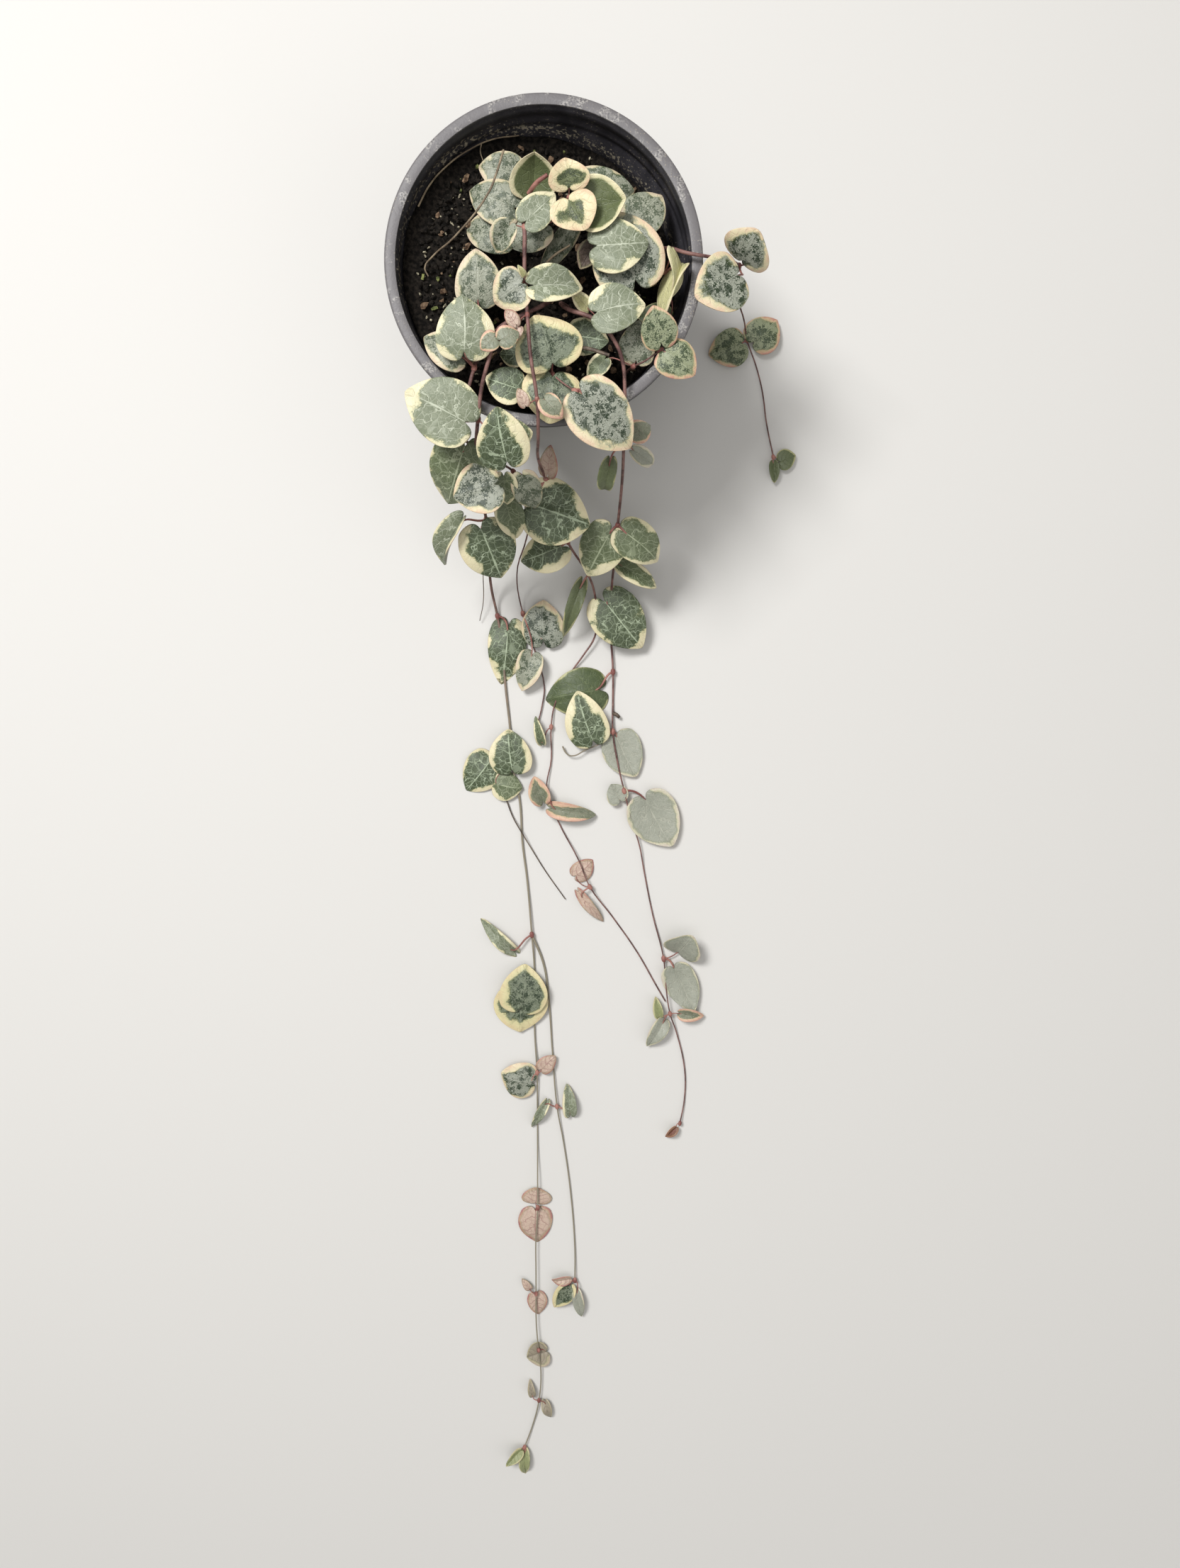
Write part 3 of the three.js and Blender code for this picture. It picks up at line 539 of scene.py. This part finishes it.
def stem_finish(name, dark, light, faded=None):
    """Wiry bark, which may fade to another colour along the surface, away from the pot."""
    stem = Finish(name, 0.55, 0.35)
    along = stem.grain(240, 4)
    fine = stem.grain(2400, 3)
    tone = stem.blend(stem.ramp(along, 0.38, 0.62), colour(dark), colour(light))
    tone = stem.blend(stem.sums("MULTIPLY", stem.ramp(fine, 0.55, 0.7), 0.35), tone, colour("a58f7c"))
    if faded:
        apart = stem.tree.nodes.new("ShaderNodeSeparateXYZ")
        stem.join(stem.place, apart.inputs[0])
        away = stem.ramp(apart.outputs["Y"], -0.08, -0.2)
        tone = stem.blend(stem.sums("MULTIPLY", away, 0.85), tone, colour(faded))
    stem.relief(fine, 0.0001)
    return stem.paint(tone)


leaf_skin = leaf_finish()
stem_bark = stem_finish("stem_bark", "563a38", "83605a")
pale_bark = stem_finish("pale_bark", "563a38", "83605a", "8f8a76")
stalk_skin = stem_finish("stalk_skin", "7b4a45", "a7756a")


def strands(name, runs):
    """Round strands as one mesh. Each run is a list of (point, radius, handles or None), in
    millimetres, and every strand has closed ends."""
    wire = bpy.data.curves.new(name, "CURVE")
    wire.dimensions = "3D"
    wire.bevel_depth = 1
    wire.bevel_resolution = 1
    wire.use_fill_caps = True
    wire.resolution_u = 5
    for run in runs:
        spline = wire.splines.new("BEZIER")
        spline.bezier_points.add(len(run) - 1)
        for knot, (point, radius, handles) in zip(spline.bezier_points, run):
            knot.co = Vector(point) * MM
            knot.radius = radius * MM
            if handles:
                knot.handle_left_type = "FREE"
                knot.handle_right_type = "FREE"
                knot.handle_left, knot.handle_right = [Vector(h) * MM for h in handles]
            else:
                knot.handle_left_type = "AUTO"
                knot.handle_right_type = "AUTO"
    holder = bpy.data.objects.new(name, wire)
    bpy.context.scene.collection.objects.link(holder)
    bpy.context.view_layer.update()
    ready = holder.evaluated_get(bpy.context.evaluated_depsgraph_get())
    mesh = bpy.data.meshes.new_from_object(ready)
    bpy.data.objects.remove(holder)
    mesh.materials.clear()
    return mesh


def stalk(node, way, row):
    """The run of a leaf's stalk: off the stem sideways, then into the notch from behind."""
    place = place_of(row)
    notch = Vector(row[:3])
    span = (notch - node).length
    aside = notch - node
    aside -= aside.dot(way) * way
    aside = aside.normalized() * (1.5 + 0.25 * span)
    radius = min(0.55, max(0.26, 0.025 * row[6]))
    behind = place @ Vector((0, -0.35 * span, 0))
    inside = place @ Vector((0, 0.05 * row[6], 0))
    return [
        (node, radius * 1.15, (node - aside, node + aside)),
        (inside, radius * 0.8, (behind, inside + (inside - behind))),
    ]


def leaf_cluster(name, node, way, rows, replaced=()):
    """The leaves of one node, their stalks and the knot on the stem that they grow from."""
    stalks = strands(name, [stalk(node, way, row) for row in rows])
    cluster = bmesh.new()
    layers = {n: cluster.verts.layers.float_color.new(n)
              for n in ("ground", "fleck", "vein", "margin", "blush")}
    for n in ("rim", "fleck_share", "vein_share", "margin_width", "blush_share", "raggedness"):
        layers[n] = cluster.verts.layers.float.new(n)
    cluster.loops.layers.uv.new("blade")
    cluster.from_mesh(stalks)
    big = max(row[6] for row in rows)
    knot = min(1.15, 0.75 + 0.02 * big)
    across = way.to_track_quat("Z", "X").to_matrix().to_4x4()
    squash = Matrix.Diagonal((knot, knot, 1.5 * knot, 1))
    bmesh.ops.create_icosphere(
        cluster, subdivisions=2, radius=MM,
        matrix=Matrix.Translation(node * MM) @ across @ squash,
    )
    for face in cluster.faces:
        face.material_index = 1
        face.smooth = True
    woody = len(cluster.faces)
    for row in rows:
        add_leaf(cluster, layers, row)
    cluster.faces.ensure_lookup_table()
    for face in cluster.faces[woody:]:
        face.material_index = 0
        face.smooth = True
    bmesh.ops.remove_doubles(cluster, verts=cluster.verts, dist=1e-7)
    mesh = bpy.data.meshes.new(name)
    cluster.to_mesh(mesh)
    cluster.free()
    piece = finish_piece(name, mesh, [leaf_skin, stalk_skin], replaced)
    rounding = piece.modifiers.new("rounding", "SUBSURF")
    rounding.levels = 1
    rounding.render_levels = 1


def grow_vine(name, radius, route, leaves, tip=(), bark=stem_bark):
    """One vine from its root in the soil to its growing tip."""
    points = [Vector(p) for p in route]
    last = len(points) - 1
    run = []
    for i, point in enumerate(points):
        thin = max(THINNEST_STEM, radius * (1.1 - i / last))
        run.append((point, thin, None))
    mesh = strands(name + "_stem", [run])
    mesh.shade_smooth()
    finish_piece(name + "_stem", mesh, [bark], ["stem_" + name])
    for count, (index, rows) in enumerate(leaves.items(), 1):
        way = (points[min(index + 1, last)] - points[max(index - 1, 0)]).normalized()
        solid = f"leaves_{name}_{count}"
        leaf_cluster(f"{name}_leaves_{count}", points[index], way, rows, [solid])
    if tip:
        way = (points[last] - points[last - 1]).normalized()
        leaf_cluster(name + "_tip_leaves", points[last], way, tip)


# ---------------------------------------------------------------- centre vine
# The middle one of the long vines, a wiry stem that grows over the front of the rim.
# Route points are in millimetres. A leaf is the x, y, z of its notch, heading, pitch, roll,
# length, width, fold, bend and its colouring. The number before a list of leaves is its point.
grow_vine(
    "centre",
    radius=0.75,
    route=[
        (-6, 26, 54), (-6, 25, 66), (-8, 15, 92), (-6, 8, 102), (-6, -2, 102), (-6, -10, 102),
        (-5, -21, 105), (-4, -34, 106.5), (-2, -48, 103), (-2, -58, 95), (-3, -63, 76),
        (-1, -68, 52), (7, -90, 34), (15, -102, 22), (18, -110, 12), (19, -120, 7),
        (18, -128, 4), (13, -136, 2.5), (8, -143, 1), (1, -156, 1), (-1, -167, 2),
        (-1, -181, 1), (-3, -195, 2), (2, -209, 1), (11, -226, 3), (16, -238, 3.2),
        (26, -252, 1), (37, -268, 1), (46, -284, 1), (50, -291, 1),
    ],
    leaves={
        3: [
            (-11, 8, 103, -130, -30, 0, 10, 11, 35, 0, "silver"),
            (-5, 10, 102.5, 42, -5, 0, 13, 12, 10, 8, "light"),
        ],
        5: [
            (-7, -11, 105, -151, -12, 0, 12, 15, 10, -20, "speckled"),
            (-6, -9, 108, 130, 45, 0, 4, 3, 40, 0, "butter"),
            (-2, -12, 107, 0, -4, 0, 16, 15, 35, 0, "light"),
        ],
        6: [
            (-9, -24, 106, 124, 0, 0, 6, 5, 20, 0, "pink"),
            (-8, -25, 105, -125, -12, 0, 6.5, 5, 20, 0, "pink"),
        ],
        8: [
            (-6, -50, 104, 114, 8, 0, 6, 5, 30, 0, "pink"),
            (1, -49, 106, -48, 0, 0, 8, 8.5, 25, 0, "blush"),
        ],
        11: [
            (-5, -78, 53, -14, -12, 0, 23, 26, 8, 0, "dark"),
            (0, -66, 56, 82, 45, 0, 12, 8, 20, 0, "pink"),
            (-4, -71, 53, -114, -13, 0, 13, 6, 30, 0, "pink"),
        ],
        12: [
            (4, -92, 35, -161, -10, 0, 18, 17, 8, 0, "dark"),
        ],
        20: [
            (-5, -174, 4, 104, 14, 0, 12, 5.5, 36, 0, "green"),
        ],
        22: [
            (-5, -199, 3, 110, 0, 0, 11, 13, 45, 0, "blush"),
            (0, -203, 4, -9, 0, 0, 19, 10, 36, 0, "blush"),
        ],
        25: [
            (10, -233, 1.5, 40, 0, 0, 10, 9.5, 4, 0, "pink"),
            (12, -242, 4.2, -50, 0, 0, 16, 6, 36, 0, "pink"),
        ],
    },
)


# ---------------------------------------------------------------- left vine
# The longest vine. It hangs over the rim, lies along the floor to its growing tip and
# bears small round leaves there. Its bark fades to straw away from the pot.
grow_vine(
    "left",
    radius=0.75,
    route=[
        (3, -4, 54), (3, -5, 66), (1, -14, 93), (-3, -18, 100), (-9, -21, 101.5),
        (-16, -26, 102), (-18, -33, 101), (-21, -42, 98), (-23, -53, 94), (-25, -63, 82),
        (-26, -71, 62), (-25, -82, 42), (-26, -94, 22), (-26, -108, 7), (-24, -119, 2),
        (-22, -133, 1), (-21, -148, 1), (-19, -168, 1), (-18, -184, 2), (-15, -200, 1),
        (-14, -218, 1), (-12, -235, 1), (-10, -260, 2), (-9, -275, 1), (-9, -290, 2),
        (-9, -306, 1), (-8, -324, 2), (-8, -340, 1), (-8, -358, 1), (-8, -375, 3),
        (-8, -388, 3.2), (-9, -405, 3), (-9, -418, 3), (-9, -430, 3.2), (-9, -444, 3),
        (-8, -458, 3.2), (-7, -470, 2), (-8, -484, 2), (-11, -497, 1), (-15, -508, 2),
    ],
    leaves={
        5: [
            (-23, -12, 90, 91, 14, 0, 17, 16.5, 8, -10, "silver"),
            (-16, -29, 108, -143, 0, 0, 6, 7, 10, 0, "blush"),
            (-13.5, -30, 109, 26, 0, 0, 6.5, 8, 10, 0, "blush"),
        ],
        8: [
            (-28, -54, 97, 154, 0, 0, 22, 23.5, 6, 10, "light"),
            (-17, -60, 94, 8, 0, 0, 13.5, 15, 8, 0, "green"),
        ],
        9: [
            (-29, -62, 86, -112, -34, 0, 25, 22, 6, 0, "green"),
            (-13, -67, 97, 102, 28, 0, 18, 19, 10, 0, "dark"),
            (-19, -74, 83, -161, 0, 0, 15, 19, 10, -10, "speckled"),
        ],
        11: [
            (-34, -84, 52, -121, -26, 30, 21, 16, 55, 0, "light"),
            (-26, -87, 50, -68, -26, 0, 22, 23, 8, 0, "dark"),
        ],
        14: [
            (-19.5, -124, 2.7, -97, 0, 0, 25, 17, 4, 0, "dark"),
        ],
        18: [
            (-18, -185, 5, 93, 0, 0, 17.5, 19, 5, 0, "dark"),
            (-28, -182, 2.4, -131, 0, 0, 17, 18, 5, 0, "dark"),
            (-25, -192, 2.8, -7, 0, 0, 11.5, 14, 5, 0, "green"),
        ],
        22: [
            (-19, -267, 3.5, 135, 0, 0, 20, 8.5, 36, 0, "light"),
        ],
        24: [
            (-15, -292, 5, 81, 0, 0, 19.5, 22, 6, 0, "reticulated"),
            (-15, -287, 2.8, -88, 0, 0, 18, 25, 5, 0, "reticulated"),
        ],
        26: [
            (-11, -328, 3, 168, 0, 0, 14, 17.5, 6, 0, "speckled"),
            (-6, -322, 3, 46, 0, 0, 9, 8, 10, 0, "pink"),
        ],
        30: [
            (-9, -386, 1.3, 84, 0, 0, 7, 14, 4, 0, "pink"),
            (-9, -391, 1.3, -88, 0, 0, 15.5, 16, 4, 0, "pink"),
        ],
        33: [
            (-9, -432, 1.3, -81, 0, 0, 9.5, 9.5, 4, 0, "pink"),
            (-12, -428, 2.5, 127, 0, 0, 6, 4, 20, 0, "pink"),
        ],
        35: [
            (-5, -460, 1.3, -163, 0, 180, 9, 13, -4, 0, "beige"),
        ],
        37: [
            (-11, -481, 3, 100, 0, 0, 7.5, 4, 30, 0, "beige"),
            (-5, -485, 3, -75, 0, 0, 9, 5, 20, 0, "beige"),
        ],
    },
    tip=[
        (-17, -509, 3, -141, 0, 0, 9, 7, 40, 60, "lime"),
        (-15, -510, 2.5, -88, 0, 0, 13, 7, 40, 0, "lime"),
    ],
    bark=pale_bark,
)


# ---------------------------------------------------------------- right vine
# Hangs over the rim a little to the right, and ends in a brown bud. Several of its leaves
# lie face down and show their pale grey undersides.
grow_vine(
    "right",
    radius=0.75,
    route=[
        (10, -8, 54), (9, -9, 66), (6, -14, 92), (9, -18, 100), (18, -22, 102.5),
        (24, -28, 101), (27, -34, 98.5), (28, -43, 96), (28, -54, 94), (28, -61, 86),
        (28, -71, 62), (27, -84, 40), (26, -97, 24), (25, -111, 9), (25, -126, 2.5),
        (26, -143, 2), (26, -156, 1), (26, -169, 2.6), (28, -182, 3.2), (31, -195, 3.4),
        (34, -207, 3.4), (38, -220, 2.5), (40, -231, 1), (44, -251, 1), (49, -271, 2.2),
        (50, -283, 3.2), (52, -296, 3.4), (55, -305, 1.5), (59, -323, 1), (59, -337, 1),
        (57, -348, 2),
    ],
    leaves={
        4: [
            (19, -20, 105, 12, 0, 0, 16, 16.5, 8, 0, "light"),
            (15, -17, 99, 137, 14, 0, 8, 6.5, 30, 20, "butter"),
        ],
        9: [
            (23, -66, 78, -102, -44, 0, 17, 8, 36, 0, "olive"),
            (32, -62, 82, -26, -43, 0, 12, 8, 36, 0, "grey"),
            (31, -57, 87, 30, -35, 0, 10, 9, 10, 0, "blush"),
        ],
        11: [
            (24, -87, 40, -120, -26, 0, 22, 19, 8, 0, "green"),
            (30, -87, 41, -39, -18, 0, 19.5, 17, 8, 0, "green"),
        ],
        12: [
            (29, -99, 25, -30, -12, 0, 18, 12, 45, 0, "green"),
            (12, -107, 16, -110, -5, 0, 23, 8, 36, 0, "olive"),
        ],
        13: [
            (23, -114, 12, -51, -8, 0, 25, 23, 8, 0, "dark"),
        ],
        15: [
            (19, -151, 2.5, -172, 0, 0, 23, 21.5, 5, 0, "deep"),
        ],
        17: [
            (17, -172, 5.5, 109, 4, 0, 22, 19, 8, 0, "dark"),
            (28, -172, 1.3, -62, 0, 180, 19, 18, -4, 0, "grey"),
        ],
        19: [
            (29, -199, 3, 120, 0, 180, 8, 10, -4, 0, "grey"),
            (41, -200, 1.3, -62, 0, 180, 23, 23, -4, 0, "grey"),
        ],
        24: [
            (56, -267, 3, 61, 42, 0, 13.5, 18.5, 20, 0, "grey"),
            (54, -276, 1.4, -67, 0, 180, 21, 15.5, -5, 0, "grey"),
        ],
        26: [
            (47, -297, 3.5, 100, 0, 0, 9, 5.5, 36, 0, "lime"),
            (49, -300, 3.5, -122, 5, 0, 13.5, 9.5, 36, 0, "grey"),
            (57, -296, 3.5, -7, 0, 0, 10.5, 8, 40, 0, "blush"),
        ],
    },
    tip=[
        (55, -350, 2.5, -136, 0, 0, 6.5, 5, 40, 0, "bud"),
    ],
)


# ---------------------------------------------------------------- outer vine
# Leaves the pot at the front left, swings in to the middle as it falls, and ends between
# its neighbours on the floor.
grow_vine(
    "outer",
    radius=0.75,
    route=[
        (-21, -24, 54), (-21, -25, 66), (-23, -31, 88), (-24, -36, 95), (-26, -43, 95.5),
        (-28, -52, 93.4), (-29, -57, 88), (-26, -60, 78), (-20, -63, 69), (-13, -66, 60),
        (-7, -76, 44), (-10, -88, 26), (-15, -102, 10), (-13, -118, 2), (-8, -134, 1),
        (-4, -149, 1), (-5, -158, 1), (-7, -166, 1),
    ],
    leaves={
        3: [
            (-26.5, -32, 104, 89, 5, 0, 17.5, 20.5, 6, 5, "light"),
            (-28, -33, 99, 151, 0, 0, 15, 13, 6, 0, "silver"),
        ],
        9: [
            (-16, -77, 56, -77, -27, 0, 16, 13, 30, 0, "green"),
            (-16, -69, 68, -88, -32, 0, 11, 11, 20, 0, "green"),
            (-9, -69, 68, -69, -38, 0, 16, 12, 20, 0, "silver"),
        ],
        13: [
            (-4, -129, 5, 88, 0, 0, 17, 19, 6, 0, "speckled"),
            (-9, -136, 5.2, -109, 0, 0, 16, 13, 25, 0, "silver"),
        ],
    },
)


# ---------------------------------------------------------------- side vine
# Leaves the pot alone, over the right of the rim. It hangs free beside the wall and runs
# out on the floor with two more pairs of leaves.
grow_vine(
    "side",
    radius=0.75,
    route=[
        (38, 11, 54), (39, 10, 66), (44, 5, 90), (49, 2, 95), (56, 1, 94.5), (63, 2, 88),
        (69, 3, 78), (70, 5, 60), (72, 6, 44), (76, 4, 24), (80, 1, 9), (82, -4, 2),
        (86, -14, 1), (89, -25, 1), (91, -38, 1), (94, -52, 2),
    ],
    leaves={
        6: [
            (66, -5, 93, -153, 15, 0, 17, 20.5, 6, 0, "speckled"),
            (69, 2, 88, 54, 62, 0, 13, 18.5, 8, 0, "speckled"),
        ],
        11: [
            (79, -6, 4, -160, 0, 0, 14, 16, 6, 0, "marbled"),
            (85, -5, 4, 41, 0, 0, 13, 16, 8, 0, "marbled"),
        ],
    },
    tip=[
        (94, -55, 3, -87, 0, 0, 8, 5.5, 36, 0, "olive"),
        (97, -54, 3, 18, 0, 0, 7, 9, 10, 0, "olive"),
    ],
)


# ---------------------------------------------------------------- red shoot
# A short young shoot at the front right. It stops at the rim, with its newest pair of
# leaves spread above it.
grow_vine(
    "red",
    radius=0.7,
    route=[
        (29, -31, 54), (29, -32, 66), (30, -34, 84), (31, -35, 93), (35, -34, 97),
        (40, -31, 99),
    ],
    leaves={
        3: [
            (32, -33, 94, 87, 18, 0, 13, 13, 8, 0, "silver"),
            (21, -33, 94, -135, -12, 0, 8.5, 7.5, 20, 0, "green"),
        ],
    },
    tip=[
        (40, -29, 102, 104, 22, 0, 12, 13, 10, 0, "marbled"),
        (42, -32, 101, -41, 0, 0, 12.5, 14, 8, 0, "marbled"),
    ],
)


# ---------------------------------------------------------------- fork
# A thinner side branch of the left vine, which leaves it where both lie on the floor.
# It ends in three small leaves.
grow_vine(
    "fork",
    radius=0.5,
    route=[
        (-10, -260, 2), (-5, -273, 1), (-3, -285, 1), (-2, -298, 1), (-1, -315, 1),
        (1, -340, 2), (4, -358, 1), (7, -381, 1), (9, -409, 1), (9, -424, 2),
    ],
    leaves={
        5: [
            (-4, -338, 3.5, -118, 0, 0, 14, 5.5, 36, 0, "light"),
            (7, -343, 3, 95, 0, 0, 14, 8, 36, 0, "light"),
        ],
    },
    tip=[
        (6, -427, 3, -123, 0, 0, 12, 10, 20, 0, "reticulated"),
        (10, -430, 3, -80, 0, 0, 12, 6.5, 36, 0, "grey"),
        (6, -423, 3, -172, 0, 0, 8, 6, 40, 0, "pink"),
    ],
    bark=pale_bark,
)


# ---------------------------------------------------------------- front shoot
# A short shoot among the front leaves. It carries the broad flecked leaf that lies over
# the rim.
grow_vine(
    "front",
    radius=0.75,
    route=[
        (0, -31, 54), (0, -31, 66), (2, -34, 84), (3, -38, 95), (7, -42, 99), (11, -45, 101),
    ],
    leaves={
        2: [
            (-8, -30, 88, 176, -10, 0, 8, 9, 10, 0, "dark"),
            (10, -24, 90, -10, 8, 0, 13, 13, 8, 0, "dark"),
            (-9, -43, 95.5, 163, 0, 0, 12, 13, 8, 0, "dark"),
        ],
        3: [
            (3, -35, 100, 107, 7, 0, 16, 24, 8, 5, "reticulated"),
            (3, -40, 97, -96, 2, 0, 15, 21.5, 8, 0, "reticulated"),
        ],
    },
    tip=[
        (14, -47, 102.5, -45, -8, 0, 24, 22, 6, -10, "speckled"),
    ],
)


# ---------------------------------------------------------------- back shoot
# The thickest of the short stems. It stands up behind the middle of the pot, and its two
# pale top leaves are well above the rim.
grow_vine(
    "back",
    radius=0.9,
    route=[
        (8, 22, 54), (8, 21, 66), (8, 20, 78), (9, 18, 91), (9, 17, 103),
    ],
    leaves={
        2: [
            (12, 26, 84, 2, 5, 0, 20, 17, 6, -10, "silver"),
            (0, 11, 94, -150, -10, 0, 13, 13, 8, 0, "silver"),
            (17, 5, 92, -124, -28, 0, 8.5, 9, 30, 25, "dried"),
        ],
        3: [
            (14, 15, 100.5, 3, 8, 180, 15, 19, -8, -8, "cupped"),
            (9, 11, 92, -132, -25, 0, 20, 9.5, -36, 0, "silver"),
        ],
    },
    tip=[
        (9, 20, 105, 96, 20, 0, 8.5, 15, 22, 0, "cream"),
        (9, 15, 106, -62, -4, 0, 11, 16.5, 10, 10, "cream"),
    ],
)


# ---------------------------------------------------------------- back left shoot
# A short stem at the back left with three silvery leaves and a cupped one, which shows
# its underside. They lie low over the soil.
grow_vine(
    "back_left",
    radius=0.75,
    route=[
        (-12, 27, 54), (-12, 26, 66), (-12, 22, 77), (-13, 18, 82),
    ],
    leaves={
        2: [
            (-10, 33, 80, 167, 4, 0, 13.5, 14.5, 8, 0, "silver"),
            (-4, 25, 86, 85, 24, 180, 14, 17, -12, -30, "cupped"),
            (-11, 20, 86, 157, -8, 0, 17.5, 16, 8, 0, "silver"),
            (-13, 12, 84, 167, -8, 0, 17, 15, 8, -8, "silver"),
        ],
    },
)


# ---------------------------------------------------------------- back right shoot
# Leans from the back of the soil over to the right wall, and carries a large flecked
# leaf and two rolled, butter-coloured ones.
grow_vine(
    "back_right",
    radius=0.75,
    route=[
        (26, 22, 54), (26, 20, 66), (26, 15, 80), (29, 8, 86), (33, -2, 92), (38, -4, 92),
        (42, -3, 91),
    ],
    leaves={
        2: [
            (32, 15, 86, 51, -5, 0, 14, 15.5, 8, -10, "silver"),
            (28, 21, 79, 64, 15, 0, 7, 6.5, 36, 0, "silver"),
        ],
        4: [
            (31, -7, 98, 110, 2, 0, 23, 25.5, 6, 0, "speckled"),
            (19, 2, 102.6, 6, 0, 0, 17, 18.5, 8, 0, "light"),
        ],
        6: [
            (46, -2.5, 95, -118, 0, 60, 19, 12, 10, -15, "butter"),
            (45, 0.5, 98.5, -82, -4, -62, 14, 10, 10, 0, "butter"),
            (43, -17, 86, 174, 0, 0, 10.5, 9.5, 10, 0, "deep"),
        ],
    },
)


# ---------------------------------------------------------------- thin branch, dry roots and broken stalks
# Bits too thin to carry anything: a leafless side branch lying across the left vine, a
# dry root over the back leaves, and the stubs of stalks whose leaves have dropped.
thin_bark = stem_finish("thin_bark", "4b4038", "76685a")
dry_bark = stem_finish("dry_bark", "6b5d4c", "9a8a72")


def lone_strand(name, points, radius, bark):
    """A bare strand that thins towards its end."""
    run = [(p, radius * (1 - 0.35 * i / len(points)), None) for i, p in enumerate(points)]
    mesh = strands(name, [run])
    mesh.shade_smooth()
    finish_piece(name, mesh, [bark])


lone_strand("thin_branch", [
    (-21, -199, 1), (-18, -207, 1.5), (-14.5, -213, 3), (-10, -221, 1.5), (-4, -231, 1),
    (5, -244, 1),
], 0.3, thin_bark)
lone_strand("hanging_root", [(-29.3, -102, 10), (-29.8, -113, 5), (-31.7, -121, 2)], 0.2, thin_bark)
lone_strand("dry_root", [
    (-13, 34, 98), (-15.4, 25.7, 100), (-17.9, 20.4, 99), (-30.8, 7.9, 92),
    (-39, 3.5, 86), (-42, 0.5, 83.5), (-41, -2, 82.5),
], 0.4, dry_bark)
lone_strand("wall_root", [
    (-44, 21, 83.5), (-40, 28, 83.5), (-34, 35, 82), (-27, 40.5, 80.5), (-18, 45.2, 78.5),
    (-9, 47, 77),
], 0.35, dry_bark)
lone_strand("wall_rootlet", [(-22, 43.5, 79.5), (-22.5, 41, 78.5), (-21.5, 38, 78)], 0.25, dry_bark)
lone_strand("old_stalk", [(-4.5, 19.5, 100), (-1.5, 21.2, 105), (2, 23, 106.5)], 0.9, stalk_skin)
lone_strand("dry_stem", [(-1.4, -0.9, 84), (3.1, 2.3, 90), (9, 6, 90)], 0.5, dry_bark)
lone_strand("brown_stub", [(10, -30, 94), (14, -30.5, 100), (22.5, -33.3, 102)], 0.8, thin_bark)
lone_strand("looping_stalk", [
    (4, -175.5, 2), (5.5, -178.3, 2.6), (7.8, -179.6, 3), (14.3, -176.9, 3), (25, -172.5, 2.4),
], 0.35, pale_bark)
lone_strand("leaf_scar", [(26.2, -161, 1.6), (27.6, -161.6, 2.6), (28.8, -162.8, 2.2)], 0.9, thin_bark)


# ---------------------------------------------------------------- floor
# A plain pale floor, smooth and dull, wide enough to run out of sight on every side.
# It belongs to the room and not to the plant.
FLOOR_HALF_WIDTH = 4
slab = bmesh.new()
bmesh.ops.create_grid(slab, x_segments=1, y_segments=1, size=FLOOR_HALF_WIDTH)
floor_mesh = bpy.data.meshes.new("floor")
slab.to_mesh(floor_mesh)
slab.free()
floor = bpy.data.objects.new("floor", floor_mesh)
bpy.context.scene.collection.objects.link(floor)
floor_paint = bpy.data.materials.new("floor")
floor_paint.use_nodes = True
floor_shader = floor_paint.node_tree.nodes["Principled BSDF"]
floor_shader.inputs["Base Color"].default_value = colour("d6d4d0")
floor_shader.inputs["Roughness"].default_value = 0.85
floor_mesh.materials.append(floor_paint)


# ---------------------------------------------------------------- light
# A large soft key from the upper left, a weaker fill from the right, and a pale room.
def soft_light(name, spot, aim, size, watts):
    lamp = bpy.data.lights.new(name, "AREA")
    lamp.size = size
    lamp.energy = watts
    holder = bpy.data.objects.new(name, lamp)
    holder.location = spot
    holder.rotation_euler = (Vector(aim) - Vector(spot)).to_track_quat("-Z", "Y").to_euler()
    bpy.context.scene.collection.objects.link(holder)


soft_light("key", (-0.5, 0.4, 1.15), (0, -0.15, 0), 0.4, 17)
soft_light("fill", (0.8, -0.7, 0.9), (0, -0.2, 0), 1.0, 2.2)
soft_light("top", (0.0, -0.25, 1.6), (0, -0.2, 0), 1.0, 5.5)
room = bpy.data.worlds.new("room")
room.use_nodes = True
sky = room.node_tree.nodes["Background"]
sky.inputs["Color"].default_value = (1.0, 0.98, 0.95, 1)
sky.inputs["Strength"].default_value = 0.26
bpy.context.scene.world = room
bpy.context.scene.view_settings.view_transform = "Standard"


# ---------------------------------------------------------------- camera
# It looks almost straight down on the plant, from just in front of the pot.
lens = bpy.data.cameras.new("camera")
lens.sensor_width = 36
lens.lens = 27.03
lens.clip_start = 0.01
camera = bpy.data.objects.new("camera", lens)
camera.location = (0.016, -0.129, 0.516)
camera.rotation_euler = (math.radians(-7), 0, 0)
bpy.context.scene.collection.objects.link(camera)
bpy.context.scene.camera = camera
